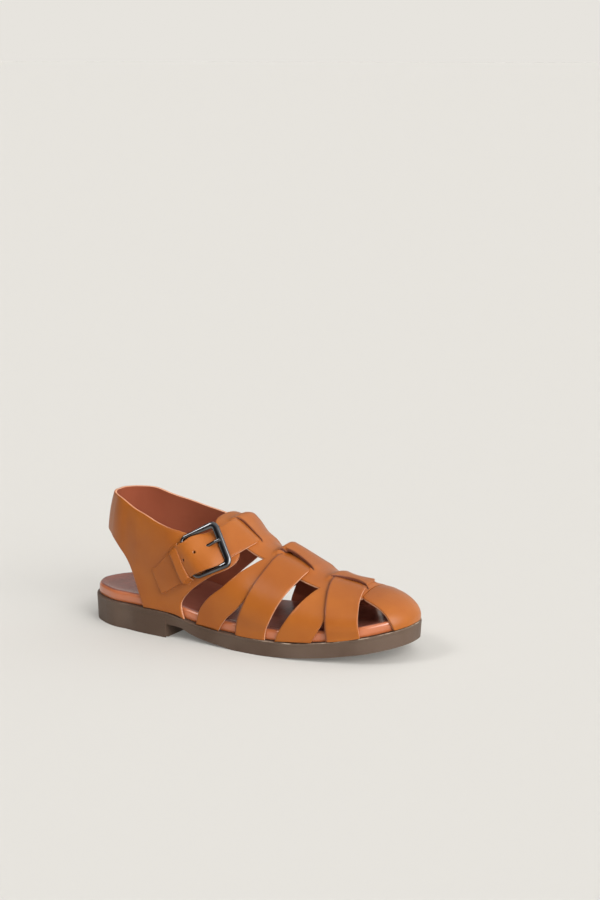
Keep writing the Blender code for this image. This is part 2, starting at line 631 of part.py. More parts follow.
def build_buckle(collection):
    """Frame whose hinge bar lies under the strap and front bar over it, and its prong."""
    metal = ((0.10, 0.10, 0.11), 0.25, 1.0)
    frame, length = buckle_frame_matrix()
    width = STRAP_WIDTH + 2 * STRAP_PLAY + BUCKLE_BAR
    ring = rounded_rectangle(length, width, BUCKLE_ROUNDING)
    bar("buckle_frame", [frame @ p for p in ring], BUCKLE_BAR / 2, collection, *metal, True)
    above = BUCKLE_BAR / 2 + CLEARANCE + PRONG_DIAMETER / 2
    prong = [(-0.02, 1.30), (0.20, 1.15), (0.46, 1.0), (0.56, 0.98)]
    points = [frame @ Vector((share * length, 0, rise * above)) for share, rise in prong]
    bar("buckle_prong", points, PRONG_DIAMETER / 2, collection, *metal)


def build_keeper(collection):
    """Leather loop that holds the strap's tail to the quarter."""
    share = np.linspace(-1, 1, 29)
    half = np.array(KEEPER_HALF)
    start, end = np.array(KEEPER_REAR), np.array(KEEPER_FRONT)
    middle, reach = (start + end) / 2, (end - start) / 2
    line = middle + share[:, None] * reach
    rise = np.interp(np.abs(share), KEEPER_RISE_SHARES, (1, 1, 0, 0))
    low = LEATHER + CLEARANCE
    lift = low + rise * KEEPER_RISE
    station = np.stack([line[:, 0] - half[0], line[:, 0] + half[0]], 1)
    girth = np.stack([line[:, 1] - half[1], line[:, 1] + half[1]], 1)
    lifts = np.stack([lift, lift], 1)
    mesh = thick_sheet("keeper_loop", station.ravel(), girth.ravel(), lifts.ravel(),
                       grid_faces(len(share), 2), KEEPER_LEATHER)
    return new_object("keeper_loop", mesh, collection, (0.50, 0.18, 0.045), 0.42)


def main():
    for old in list(bpy.data.objects):
        bpy.data.objects.remove(old)
    sandal = bpy.data.collections.new("sandal")
    helpers = bpy.data.collections.new("helpers")
    helpers.hide_render = True
    bpy.context.scene.collection.children.link(sandal)
    bpy.context.scene.collection.children.link(helpers)
    build_outsole(sandal)
    build_insole(sandal)
    meshes = [
        quarter_mesh(),
        spider_mesh(),
        ribbon("strap_two", STRAP_TWO_ROWS),
        ribbon("strap_three", STRAP_THREE_ROWS),
        ribbon("strap_lateral", STRAP_LATERAL_ROWS),
    ]
    join_meshes("upper", meshes, sandal, helpers, (0.52, 0.19, 0.045), 0.42)
    build_buckle(sandal)
    build_keeper(sandal)


main()
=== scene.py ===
"""Fisherman sandal, one right shoe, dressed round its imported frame.

+X runs from the heel to the toe, +Y to the medial side, +Z up, in metres. The shoe stands on z = 0.
"""

import bpy
import numpy as np
from mathutils import Matrix, Vector
from mathutils.geometry import delaunay_2d_cdt


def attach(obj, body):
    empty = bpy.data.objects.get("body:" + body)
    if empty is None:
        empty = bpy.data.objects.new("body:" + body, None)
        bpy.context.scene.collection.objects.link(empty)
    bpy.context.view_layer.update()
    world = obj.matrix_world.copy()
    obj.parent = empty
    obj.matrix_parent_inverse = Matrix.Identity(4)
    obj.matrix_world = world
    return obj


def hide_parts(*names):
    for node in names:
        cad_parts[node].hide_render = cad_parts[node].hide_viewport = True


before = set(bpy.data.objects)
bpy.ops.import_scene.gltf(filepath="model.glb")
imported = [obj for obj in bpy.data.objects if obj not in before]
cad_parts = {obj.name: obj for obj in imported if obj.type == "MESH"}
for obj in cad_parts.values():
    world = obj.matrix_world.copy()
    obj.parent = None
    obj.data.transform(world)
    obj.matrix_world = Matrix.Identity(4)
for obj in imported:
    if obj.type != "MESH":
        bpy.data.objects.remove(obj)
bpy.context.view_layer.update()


# The camera stands where the photo's did: in front of the lateral side, a little above the shoe.
# The frame is the photo's own, 600 by 900, so the lens is given by its focal length in those pixels.
CAMERA_PLACE = Vector((0.74238, -1.24021, 0.41512))
CAMERA_RIGHT = Vector((0.87065, 0.491902, -0.00124))
CAMERA_UP = Vector((-0.09239, 0.166002, 0.981788))
FRAME_HEIGHT = 900
FOCAL_PIXELS = 2071.2
SENSOR = 36

camera = bpy.data.objects.new("camera", bpy.data.cameras.new("camera"))
camera.data.sensor_fit = "VERTICAL"
camera.data.sensor_height = SENSOR
camera.data.sensor_width = SENSOR
camera.data.lens = FOCAL_PIXELS / FRAME_HEIGHT * SENSOR
turn = Matrix((CAMERA_RIGHT, CAMERA_UP, CAMERA_RIGHT.cross(CAMERA_UP))).transposed()
camera.matrix_world = Matrix.Translation(CAMERA_PLACE) @ turn.to_4x4()
bpy.context.scene.collection.objects.link(camera)
bpy.context.scene.camera = camera


# The floor is a plain warm white studio floor that runs back as far as the camera sees, and the
# studio's walls have its colour where they meet it. Materials are written through this small class.
BUMP_HEIGHT = 0.0002


class Wire:
    """A socket of a node tree. Arithmetic on it adds Math nodes to the tree."""

    def __init__(self, tree, socket=None):
        self.tree = tree
        self.socket = socket

    def node(self, kind, settings=None, inputs=None, output=0):
        """Any node: its settings are set first, then its inputs by name or number."""
        made = self.tree.nodes.new(kind)
        for name, value in (settings or {}).items():
            setattr(made, name, value)
        for name, value in (inputs or {}).items():
            if isinstance(value, Wire):
                self.tree.links.new(value.socket, made.inputs[name])
            else:
                made.inputs[name].default_value = value
        return Wire(self.tree, made.outputs[output])

    def math(self, operation, *values):
        return self.node("ShaderNodeMath", {"operation": operation}, dict(enumerate(values)))

    def __add__(self, other):
        return self.math("ADD", self, other)

    def __sub__(self, other):
        return self.math("SUBTRACT", self, other)

    def __mul__(self, other):
        return self.math("MULTIPLY", self, other)

    def __rsub__(self, other):
        return self.math("SUBTRACT", other, self)

    __radd__ = __add__
    __rmul__ = __mul__

    def band(self, low, high):
        """0 below low, 1 above high, and smooth between them."""
        return self.node(
            "ShaderNodeMapRange",
            {"interpolation_type": "SMOOTHSTEP"},
            {"Value": self, "From Min": low, "From Max": high, "To Min": 0.0, "To Max": 1.0},
        )

    def blend(self, *colours):
        """The first colour where this is 0, and the second where it is 1."""
        first, second = (c if isinstance(c, Wire) else (*c, 1) for c in colours)
        return self.node(
            "ShaderNodeMix", {"data_type": "RGBA"}, {"Factor": self, 6: first, 7: second}, output=2,
        )

    def dot(self, direction):
        """How far this direction points the same way as another."""
        return self.node(
            "ShaderNodeVectorMath", {"operation": "DOT_PRODUCT"}, {0: self, 1: direction}, output=1,
        )

    def noise(self, scale, detail):
        """Clouds of one scale."""
        inputs = {"Vector": self.place(), "Scale": scale, "Detail": detail}
        return self.node("ShaderNodeTexNoise", {}, inputs)

    def cells(self, scale):
        """Distances to the nearest of scattered points, as the pores of a grain."""
        return self.node("ShaderNodeTexVoronoi", {}, {"Vector": self.place(), "Scale": scale})

    def place(self):
        """The object's own coordinates."""
        return self.node("ShaderNodeTexCoord", output=3)

    def attribute(self, name):
        """A value that the mesh carries at its points."""
        return self.node("ShaderNodeAttribute", {"attribute_name": name}, output=2)

    def bump(self, strength):
        """A normal from this height."""
        inputs = {"Strength": strength, "Distance": BUMP_HEIGHT, "Height": self}
        return self.node("ShaderNodeBump", {}, inputs)


def new_material(name):
    """A material with only a Principled shader: its start for new nodes, and the shader itself."""
    material = bpy.data.materials.new(name)
    material.use_nodes = True
    return material, Wire(material.node_tree), material.node_tree.nodes["Principled BSDF"]


def plug(shader, **values):
    """Sets or links the shader's inputs; an underscore in a name stands for a space."""
    for name, value in values.items():
        socket = shader.inputs[name.replace("_", " ")]
        if isinstance(value, Wire):
            value.tree.links.new(value.socket, socket)
        else:
            socket.default_value = value


STUDIO_WHITE = (0.799, 0.775, 0.730)
FLOOR_TONE = (0.515, 0.503, 0.477)
FLOOR_GLOW = (0.120, 0.116, 0.108)
FLOOR_REACH = 60.0

floor_material, wire, shader = new_material("floor")
plug(shader, Base_Color=(*FLOOR_TONE, 1), Roughness=0.9, Specular_IOR_Level=0.0)
plug(shader, Emission_Color=(*FLOOR_GLOW, 1), Emission_Strength=1.0)
floor_mesh = bpy.data.meshes.new("floor")
corner = FLOOR_REACH
floor_mesh.from_pydata(
    [(-corner, -corner, 0), (corner, -corner, 0), (corner, corner, 0), (-corner, corner, 0)],
    [],
    [(0, 1, 2, 3)],
)
floor_mesh.materials.append(floor_material)
floor = bpy.data.objects.new("floor", floor_mesh)
bpy.context.scene.collection.objects.link(floor)


# Light comes from above and from the toe: a bright side of the dome, a wide panel low in front of the
# toe and a soft sun. The heel's side and its horizon stay dim but for a small panel, which gives the
# buckle its streaks.
LIT_SIDE = Vector((0.60, 0.34, 0.72))
DIM_LIGHT = (0.06, 0.06, 0.065)
FULL_LIGHT = (1.13, 1.12, 1.11)
DIM_HORIZON = (0.24, 0.23, 0.22)
FRONT_SIDE = Vector((0.85, -0.45, 0.28))
FRONT_LIGHT = (4.7, 4.65, 4.55)
PANEL_SIDE = Vector((-0.42, -0.52, 0.745))
PANEL_LIGHT = (9.0, 9.0, 9.0)

# One light passes into the next between two heights, or two cosines of the angle from its side.
DOME_BAND = (0.06, 0.26)
HORIZON_BAND = (-0.55, -0.20)
LIT_BAND = (-0.10, 0.95)
FRONT_BAND = (0.80, 0.95)
PANEL_BAND = (0.980, 0.990)
KEY_STRENGTH = 0.9
KEY_ANGLE = 35
KEY_TOWARDS = Vector((-0.78, 0.34, -0.52))

world = bpy.data.worlds.new("studio")
world.use_nodes = True
bpy.context.scene.world = world
sky = Wire(world.node_tree)
direction = sky.node("ShaderNodeTexCoord", output=0)
upward = sky.node("ShaderNodeSeparateXYZ", inputs={0: direction}, output=2)
lit = direction.dot(LIT_SIDE)
horizon = lit.band(*HORIZON_BAND).blend(DIM_HORIZON, STUDIO_WHITE)
overhead = lit.band(*LIT_BAND).blend(DIM_LIGHT, FULL_LIGHT)
dome = upward.band(*DOME_BAND).blend(horizon, overhead)
dome = direction.dot(PANEL_SIDE).band(*PANEL_BAND).blend(dome, PANEL_LIGHT)
dome = direction.dot(FRONT_SIDE).band(*FRONT_BAND).blend(dome, FRONT_LIGHT)
sky.tree.links.new(dome.socket, world.node_tree.nodes["Background"].inputs["Color"])

key = bpy.data.objects.new("key", bpy.data.lights.new("key", "SUN"))
key.data.energy = KEY_STRENGTH
key.data.angle = np.radians(KEY_ANGLE)
key.rotation_euler = KEY_TOWARDS.to_track_quat("-Z", "Y").to_euler()
bpy.context.scene.collection.objects.link(key)
bpy.context.scene.view_settings.view_transform = "Standard"


# The last is the foot-shaped form that the whole shoe is made round. Its sections stand across the
# shoe and fan round the heel and the toe, and each strap is drawn on it by station and girth.
SOLE_LENGTH = 0.262
BALL_WIDTH = 0.092
INSTEP_HEIGHT = 0.086
HEEL_HEIGHT = 0.0191
HEEL_SHARE = 0.316
LEATHER = 0.002
CLEARANCE = 0.0003
UPPER_INSET = 0.0026
HEEL_TURN = 0.153
TOE_TURN = 0.878
WALL_BEND = 0.45
ORIGIN = np.array((0.13106, -0.00183, 0.0))

# Station is a share of the length. Reach and overhang are shares of the ball width, the heights are
# shares of the instep height, and squareness is the exponent of the upper arc.
LAST_COLUMNS = ("station", "lateral", "medial", "overhang", "wide_height", "top_height", "squareness")
LAST_ROWS = np.array((
    (0.000, 0.435, 0.435, -0.120, 0.70, 1.395, 2.00),
    (0.050, 0.397, 0.408, -0.092, 0.70, 1.395, 2.00),
    (0.100, 0.364, 0.370, -0.063, 0.70, 1.395, 2.00),
    (0.153, 0.370, 0.359, -0.041, 0.70, 1.405, 2.00),
    (0.220, 0.408, 0.359, -0.016, 0.67, 1.420, 2.00),
    (0.290, 0.433, 0.345, 0.011, 0.64, 1.325, 2.40),
    (0.360, 0.449, 0.326, 0.033, 0.58, 1.130, 2.80),
    (0.400, 0.457, 0.324, 0.033, 0.535, 1.000, 2.80),
    (0.430, 0.463, 0.324, 0.027, 0.49, 0.988, 2.70),
    (0.465, 0.472, 0.333, 0.020, 0.44, 0.977, 2.50),
    (0.500, 0.482, 0.349, 0.011, 0.385, 0.919, 2.30),
    (0.540, 0.496, 0.378, 0.007, 0.337, 0.843, 2.15),
    (0.570, 0.507, 0.398, 0.005, 0.302, 0.790, 2.10),
    (0.640, 0.522, 0.450, 0.005, 0.267, 0.727, 2.00),
    (0.710, 0.520, 0.484, 0.005, 0.256, 0.651, 2.00),
    (0.780, 0.493, 0.484, 0.005, 0.256, 0.581, 1.95),
    (0.830, 0.461, 0.460, 0.005, 0.262, 0.547, 1.90),
    (0.878, 0.421, 0.418, 0.003, 0.273, 0.517, 1.90),
    (0.920, 0.380, 0.367, 0.002, 0.290, 0.517, 1.85),
    (0.960, 0.364, 0.348, 0.001, 0.314, 0.517, 1.85),
    (1.000, 0.348, 0.348, 0.001, 0.337, 0.517, 1.85),
))
SWING_ROWS = ((0.0, 0.0), (0.153, 0.0), (0.5, 0.011), (0.878, 0.0435), (1.0, 0.0435))
SOLE_TOP_ROWS = (
    (0.00, 0.97), (0.15, 0.99), (0.30, 0.99), (0.36, 0.86), (0.42, 0.71), (0.50, 0.607),
    (0.60, 0.580), (0.70, 0.595), (0.80, 0.730), (0.87, 0.890), (0.95, 1.130), (1.00, 1.300),
)
SOLE_BOTTOM_ROWS = (
    (0.316, 0.525), (0.345, 0.515), (0.370, 0.465), (0.390, 0.350), (0.420, 0.225), (0.460, 0.125),
    (0.500, 0.060), (0.545, 0.0), (0.625, 0.0), (0.70, 0.042), (0.80, 0.165), (0.90, 0.375),
    (1.00, 0.660),
)


def hermite(x, y, slopes, at):
    """Cubic pieces through the points (x, y), each with its own slope."""
    step = np.diff(x)
    at = np.clip(np.asarray(at, float), x[0], x[-1])
    row = np.clip(np.searchsorted(x, at, side="right") - 1, 0, len(x) - 2)
    t = (at - x[row]) / step[row]
    rise = y[row] * (1 + 2 * t) * (1 - t) ** 2 + y[row + 1] * t * t * (3 - 2 * t)
    return rise + step[row] * (slopes[row] * t * (1 - t) ** 2 - slopes[row + 1] * t * t * (1 - t))


def smooth(rows, at):
    """Monotone curve through (place, value) rows: its slopes are harmonic means of its neighbours'."""
    x, y = np.asarray(rows, float).T
    step = np.diff(x)
    slope = np.diff(y) / step
    same = slope[1:] * slope[:-1] > 0
    near, far = step[1:] + 2 * step[:-1], 2 * step[1:] + step[:-1]
    left = np.where(same, slope[:-1], 1.0)
    right = np.where(same, slope[1:], 1.0)
    inner = np.zeros(len(x))
    inner[1:-1] = np.where(same, (near + far) / (near / left + far / right), 0.0)
    inner[0], inner[-1] = slope[0], slope[-1]
    return hermite(x, y, inner, at)


def last_column(name, station):
    """One column of the last's table at any station."""
    return smooth(LAST_ROWS[:, [0, LAST_COLUMNS.index(name)]], station)


def sole_top(x):
    """Height of the sole's upper face."""
    return HEEL_HEIGHT * smooth(SOLE_TOP_ROWS, x / SOLE_LENGTH)


def sole_bottom(x):
    """Height of the sole's lower face: flat below the heel, then the arch hollow and the toe spring."""
    share = x / SOLE_LENGTH
    return np.where(share < HEEL_SHARE, 0.0, HEEL_HEIGHT * smooth(SOLE_BOTTOM_ROWS, share))


def section_plane(station):
    """Foot of each section on the centre line, and its angle from straight ahead: a right angle
    along the foot, and turning evenly to straight back at the heel and straight ahead at the toe."""
    station = np.clip(station, 0.0, 1.0)
    behind = np.clip((HEEL_TURN - station) / HEEL_TURN, 0, 1)
    ahead = np.clip((station - TOE_TURN) / (1 - TOE_TURN), 0, 1)
    angle = np.pi / 2 * (1 + behind - ahead)
    x = np.clip(station, HEEL_TURN, TOE_TURN) * SOLE_LENGTH
    return x, BALL_WIDTH * smooth(SWING_ROWS, station), angle


def sole_reach(station, side):
    """Distance from the centre line to the sole's edge."""
    share = np.where(side < 0, last_column("lateral", station), last_column("medial", station))
    return BALL_WIDTH * share


def last_point(station, girth):
    """Girth runs from 0 on the ridge through 1 at the widest height to 2 at the sole, negative on the
    lateral side. Above the widest height the section is a superellipse, below it a smooth wall."""
    station, girth = np.broadcast_arrays(np.asarray(station, float), np.asarray(girth, float))
    side = np.where(girth < 0, -1.0, 1.0)
    x, y, angle = section_plane(station)
    reach = sole_reach(station, side) - UPPER_INSET
    wide = reach + BALL_WIDTH * last_column("overhang", station)
    foot = sole_top(x + (reach + LEATHER) * np.cos(angle)) + CLEARANCE
    wide_height = INSTEP_HEIGHT * last_column("wide_height", station)
    top_height = INSTEP_HEIGHT * last_column("top_height", station)
    lower = np.clip(2 - np.abs(girth), 0, 1)
    upper = np.clip(1 - np.abs(girth), 0, 1) * np.pi / 2
    power = 2 / last_column("squareness", station)
    low_reach = reach + (wide - reach) * lower**2 * (3 - 2 * lower)
    bend = foot + WALL_BEND * (wide_height - foot)
    low_height = (1 - lower) ** 2 * foot + 2 * lower * (1 - lower) * bend + lower**2 * wide_height
    high_reach = wide * np.maximum(np.cos(upper), 0) ** power
    high_height = wide_height + (top_height - wide_height) * np.sin(upper) ** power
    below = np.abs(girth) >= 1
    out = np.where(below, low_reach, high_reach)
    height = np.where(below, low_height, high_height)
    return np.stack([x + out * np.cos(angle), y + side * out * np.sin(angle), height], -1)


def last_normal(station, girth):
    """Outward normal: the cross product of small steps along both coordinates."""
    step = 0.002
    station = np.clip(station, step, 1 - step)
    girth = np.clip(girth, -2 + step, 2 - step)
    girth = np.where(np.abs(girth) < 2 * step, 2 * step, girth)
    along = last_point(station + step, girth) - last_point(station - step, girth)
    across = last_point(station, girth + step) - last_point(station, girth - step)
    normal = np.cross(along, across)
    return normal / np.linalg.norm(normal, axis=-1, keepdims=True)


# With no foot in it, the upper has settled a little over the medial side of the forefoot.
SETTLED = 0.0034
SETTLED_STATIONS = ((0.475, 0), (0.53, 1), (0.76, 1), (0.86, 0))
SETTLED_GIRTHS = ((-0.15, 0), (0.30, 1), (0.55, 1), (1.10, 0))


def lifted(station, girth, lift):
    """Points at a height over the settled last, in the row's frame."""
    fall = SETTLED * smooth(SETTLED_STATIONS, station) * smooth(SETTLED_GIRTHS, girth)
    over = (np.asarray(lift) - fall)[..., None]
    return last_point(station, girth) + last_normal(station, girth) * over - ORIGIN


# The outsole is one moulded unit of brown-grey rubber, with a low stepped heel, a hollow under the arch and
# a toe spring. Its side is smooth, with a fine line near the top and soft lower edges. A pale highlight is
# painted along its top edge at the forefoot.
SIDE_TAPER = 0.0008
SOLE_EDGE = 0.0011
TOP_EDGE = 0.0005
SOLE_LINE_DEPTH = 0.00012
PALE_LINE_FROM = 0.45
PALE_LINE_FADE = 0.25
RUBBER_TONES = ((0.078, 0.047, 0.031), (0.112, 0.075, 0.054))
EDGE_HIGHLIGHT_TONE = (0.52, 0.44, 0.34)
WELD_DISTANCE = 2e-5
SHARP_ANGLE = 50


def grid_faces(rows, columns, closed=False):
    """Quads of a grid of points, row by row, whose last row may join the first."""
    row = np.arange(rows if closed else rows - 1)[:, None]
    column = np.arange(columns - 1)[None, :]
    after = (row + 1) % rows
    corners = (row * columns + column, after * columns + column,
               after * columns + column + 1, row * columns + column + 1)
    return np.stack([np.broadcast_to(c, (len(row), columns - 1)).ravel() for c in corners], 1)


def new_piece(name, points, faces, material, slot, replaced, punch=None, **attributes):
    """A finished piece in the row's frame: welded, cut by the punch if there is one, smooth but for
    its sharp edges, and riding on the shoe."""
    mesh = bpy.data.meshes.new(name)
    mesh.from_pydata(np.asarray(points).reshape(-1, 3).tolist(), [], [list(f) for f in faces])
    for key, values in attributes.items():
        layer = mesh.attributes.new(key, "FLOAT", "POINT")
        layer.data.foreach_set("value", np.asarray(values, np.float32).ravel())
    made = bpy.data.objects.new(name, mesh)
    bpy.context.scene.collection.objects.link(made)
    weld = made.modifiers.new("weld", "WELD")
    weld.merge_threshold = WELD_DISTANCE
    if punch:
        cut = made.modifiers.new("punch", "BOOLEAN")
        cut.operation = "DIFFERENCE"
        cut.solver = "EXACT"
        cut.object = punch
    bpy.context.view_layer.update()
    welded = bpy.data.meshes.new_from_object(made.evaluated_get(bpy.context.evaluated_depsgraph_get()))
    made.modifiers.clear()
    made.data = welded
    welded.name = name
    welded.polygons.foreach_set("use_smooth", np.ones(len(welded.polygons), bool))
    welded.set_sharp_from_angle(angle=np.radians(SHARP_ANGLE))
    welded.materials.clear()
    welded.materials.append(material)
    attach(made, "root")
    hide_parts(*replaced)
    return made


def slab(layers, stations, more_inset=0.0):
    """Rings round the sole, from the lateral heel by the toe to the medial heel. Each layer is a share
    of the way out from the centre line, an inset from the sole's edge, and a height function. More
    inset is one value or one for each station of a side."""
    station = np.concatenate([stations, stations[::-1]])[:, None]
    side = np.repeat((-1.0, 1.0), len(stations))[:, None]
    share = np.array([layer[0] for layer in layers])[None, :]
    more = np.broadcast_to(more_inset, stations.shape)
    inset = np.array([layer[1] for layer in layers]) + np.concatenate([more, more[::-1]])[:, None]
    x, y, angle = section_plane(station)
    out = share * (sole_reach(station, side) - inset)
    px = x + out * np.cos(angle)
    py = y + side * out * np.sin(angle)
    height = np.stack([layers[k][2](px[:, k], out[:, k]) for k in range(len(layers))], 1)
    return np.stack([px, py, height], -1) - ORIGIN


near_step = np.array((0.0004, 0.0012, 0.0040))
stations = np.unique(np.concatenate([
    np.linspace(0, HEEL_TURN, 37), np.linspace(HEEL_TURN, TOE_TURN, 121), np.linspace(TOE_TURN, 1, 37),
    HEEL_SHARE - near_step, HEEL_SHARE + near_step,
]))
sole_layers = [
    (share, SIDE_TAPER + SOLE_EDGE, lambda x, out: sole_bottom(x)) for share in (0, 0.4, 0.8, 0.95)
]
sole_layers += [
    (1.0, SIDE_TAPER + SOLE_EDGE * (1 - np.cos(a)),
     lambda x, out, a=a: sole_bottom(x) + SOLE_EDGE * (1 - np.sin(np.pi / 2 - a)))
    for a in np.radians(np.array((90, 67, 45, 22, 0)))
]


def side_layer(share, inset):
    """A layer part of the way up the sole's side."""
    def height(x, out):
        return sole_bottom(x) + share * (sole_top(x) - sole_bottom(x))
    return 1.0, inset, height


for rise in (0.3, 0.6, 0.72):
    sole_layers.append(side_layer(rise, SIDE_TAPER * (1 - rise)))
for rise, depth in ((0.745, 0.0), (0.77, 1.0), (0.795, 0.0)):
    sole_layers.append(side_layer(rise, SIDE_TAPER * (1 - rise) + depth * SOLE_LINE_DEPTH))
sole_layers += [side_layer(0.93, SIDE_TAPER * 0.07), side_layer(0.97, 0.0)]
below_rim = len(sole_layers)
sole_layers += [side_layer(0.99, TOP_EDGE / 5), side_layer(1.0, TOP_EDGE)]
below_top = len(sole_layers)
sole_layers += [(share, TOP_EDGE, lambda x, out: sole_top(x)) for share in (0.93, 0.8, 0.4, 0)]
points = slab(sole_layers, stations)

rubber, wire, shader = new_material("outsole_rubber")
speck = wire.noise(900.0, 3.0)
tone = wire.noise(22.0, 4.0).band(0.35, 0.7).blend(*RUBBER_TONES)
# Painted highlight: a pale line, broken by noise, along the sole's top edge where it catches the light.
painted_highlight = wire.attribute("rim").band(0.3, 0.9) * wire.noise(140.0, 3.0).band(0.40, 0.62)
plug(shader, Base_Color=painted_highlight.blend(tone, EDGE_HIGHLIGHT_TONE), Normal=speck.bump(0.25),
     Roughness=speck.band(0.3, 0.7) * 0.12 + 0.50, Specular_IOR_Level=0.3)
# The painted highlight lies on the top edge's layers and fades in towards the toe.
rim = np.zeros(points.shape[:2])
in_front = np.clip((np.concatenate([stations, stations[::-1]]) - PALE_LINE_FROM) / PALE_LINE_FADE, 0, 1)
rim[:, below_rim:below_top] = in_front[:, None]
new_piece(
    "moulded_outsole", points, grid_faces(*points.shape[:2], closed=True), rubber, "outsole", ["outsole"],
    rim=rim,
)


# The insole is a padded footbed of about 7 mm, wrapped in leather: its top is red-brown and glossy,
# its side is orange-brown, and its upper edge is rounded. It is glued down inside the sole's rim.
INSOLE_INSET = 0.0034
HEEL_INSET = 0.0020
INSOLE_THICKNESS = 0.0078
INSOLE_ROUNDING = 0.0026
ROUNDING_STEPS = 7
HEEL_FADE = 0.08
FOOTBED_SIDE_TONES = ((0.42, 0.115, 0.038), (0.50, 0.150, 0.056))
FOOTBED_TOP_TONES = ((0.19, 0.058, 0.038), (0.25, 0.080, 0.052))


def ease(value):
    """0 below 0, 1 above 1, and smooth between them."""
    value = np.clip(value, 0, 1)
    return value * value * (3 - 2 * value)


def insole_layer(share, inset, rise):
    """A layer of the footbed at a share of its thickness over the outsole."""
    def height(x, out):
        return sole_top(x) + CLEARANCE + rise * INSOLE_THICKNESS
    return share, inset, height


side_share = 1 - INSOLE_ROUNDING / INSOLE_THICKNESS
insole_layers = [insole_layer(share, INSOLE_INSET + 0.0006, 0.0) for share in (0, 0.5, 0.9, 1.0)]
insole_layers += [insole_layer(1.0, INSOLE_INSET, rise) for rise in (0.07, 0.3, side_share)]
side_count = len(insole_layers)
for part in np.linspace(0, 1, ROUNDING_STEPS + 1)[1:]:
    bend = part * np.pi / 2
    inset = INSOLE_INSET + INSOLE_ROUNDING * (1 - np.cos(bend))
    insole_layers.append(insole_layer(1.0, inset, side_share + (1 - side_share) * np.sin(bend)))
dish = ((0.97, 0.012), (0.93, 0.042), (0.86, 0.06), (0.7, 0.084), (0.4, 0.096), (0.0, 0.096))
for share, drop in dish:
    insole_layers.append(insole_layer(share, INSOLE_INSET + INSOLE_ROUNDING, 1.0 - drop))
at_heel = ease(1 - (stations - HEEL_TURN) / HEEL_FADE)
points = slab(insole_layers, stations, (HEEL_INSET - INSOLE_INSET) * at_heel)

footbed_leather, wire, shader = new_material("footbed_leather")
cloud = wire.noise(30.0, 5.0).band(0.3, 0.7)
tones = (cloud.blend(*FOOTBED_SIDE_TONES), cloud.blend(*FOOTBED_TOP_TONES))
plug(shader, Base_Color=wire.attribute("upness").band(0.45, 0.75).blend(*tones),
     Roughness=0.26, Specular_IOR_Level=0.9, Normal=wire.cells(1300.0).bump(0.15))
upness = np.clip((np.arange(points.shape[1]) - side_count) / (ROUNDING_STEPS - 1), 0, 1)
insole = new_piece(
    "footbed", points, grid_faces(*points.shape[:2], closed=True), footbed_leather, "insole", ["insole"],
    upness=np.broadcast_to(upness, points.shape[:2]),
)


# The upper is smooth tan leather of 2 mm with raw edges. Each piece is cut flat to an outline and
# pulled over the last: here the outline is filled with points, laid on the last and given its wall.
GRID = 0.0016
EDGE_ROUNDING = 0.0005
HALF_GIRTH = BALL_WIDTH / 2
TRIANGLE_HEIGHT = 0.866
EVEN_REACH = 0.0045
SLIT_SHADE_REACH = 0.0008
PAIRS_AT_ONCE = 4_000_000


def arc_table(side, stations, girths):
    """Length of each section from its ridge to each girth: the sum of its small chords."""
    points = last_point(stations[:, None], side * np.maximum(girths, 1e-6)[None, :])
    chords = np.linalg.norm(np.diff(points, axis=1), axis=-1)
    return np.concatenate([np.zeros((len(stations), 1)), np.cumsum(chords, 1)], 1)


ARC_STATIONS = np.linspace(0, 1, 201)
ARC_GIRTHS = np.linspace(0, 2, 161)
ARCS = {side: arc_table(side, ARC_STATIONS, ARC_GIRTHS) for side in (-1, 1)}


def arc_rows(station, side):
    """The arc table's row at each station, between its two nearest ones."""
    place = np.clip(np.asarray(station, float), 0, 1) * (len(ARC_STATIONS) - 1)
    row = np.minimum(place.astype(int), len(ARC_STATIONS) - 2)
    part = (place - row)[:, None]
    lateral, medial = (ARCS[k][row] * (1 - part) + ARCS[k][row + 1] * part for k in (-1, 1))
    return np.where(side[:, None] < 0, lateral, medial)


def arc_of(station, girth):
    """Real distance over the last from the ridge, with the girth's sign."""
    side = np.where(girth < 0, -1.0, 1.0)
    table = arc_rows(station, side)
    place = np.clip(np.abs(girth), 0, 2) / 2 * (len(ARC_GIRTHS) - 1)
    column = np.minimum(place.astype(int), len(ARC_GIRTHS) - 2)
    part = place - column
    index = np.arange(len(table))
    return side * (table[index, column] * (1 - part) + table[index, column + 1] * part)


def girth_of(station, arc):
    """The girth at which a section's arc has the given length."""
    side = np.where(arc < 0, -1.0, 1.0)
    table = arc_rows(station, side)
    length = np.abs(arc)
    column = np.clip((table < length[:, None]).sum(1) - 1, 0, len(ARC_GIRTHS) - 2)
    index = np.arange(len(table))
    low, high = table[index, column], table[index, column + 1]
    part = (length - low) / np.maximum(high - low, 1e-12)
    return side * np.clip((column + part) * 2 / (len(ARC_GIRTHS) - 1), 0, 2)


def to_sheet(station, girth):
    """The last's cover laid flat at its real lengths: along the foot and across it from the ridge, and
    in circles at the heel and the toe."""
    station, girth = np.asarray(station, float), np.asarray(girth, float)
    angle = section_plane(station)[2]
    out = np.abs(arc_of(station, girth))
    along = np.clip(station, HEEL_TURN, TOE_TURN) * SOLE_LENGTH + out * np.cos(angle)
    return np.stack([along, np.sign(girth) * out * np.sin(angle)], -1)


def from_sheet(spots):
    """Station and girth of points of the flat sheet."""
    along, across = spots[:, 0], spots[:, 1]
    toe, heel = TOE_TURN * SOLE_LENGTH, HEEL_TURN * SOLE_LENGTH
    ahead = np.arctan2(np.abs(across), along - toe) / (np.pi / 2)
    behind = np.arctan2(np.abs(across), heel - along) / (np.pi / 2)
    station = np.where(along > toe, 1 - (1 - TOE_TURN) * ahead, along / SOLE_LENGTH)
    station = np.where(along < heel, HEEL_TURN * behind, station)
    beyond = np.where(along > toe, along - toe, np.where(along < heel, heel - along, 0.0))
    side = np.where(across < 0, -1.0, 1.0)
    return station, girth_of(station, side * np.hypot(beyond, across))


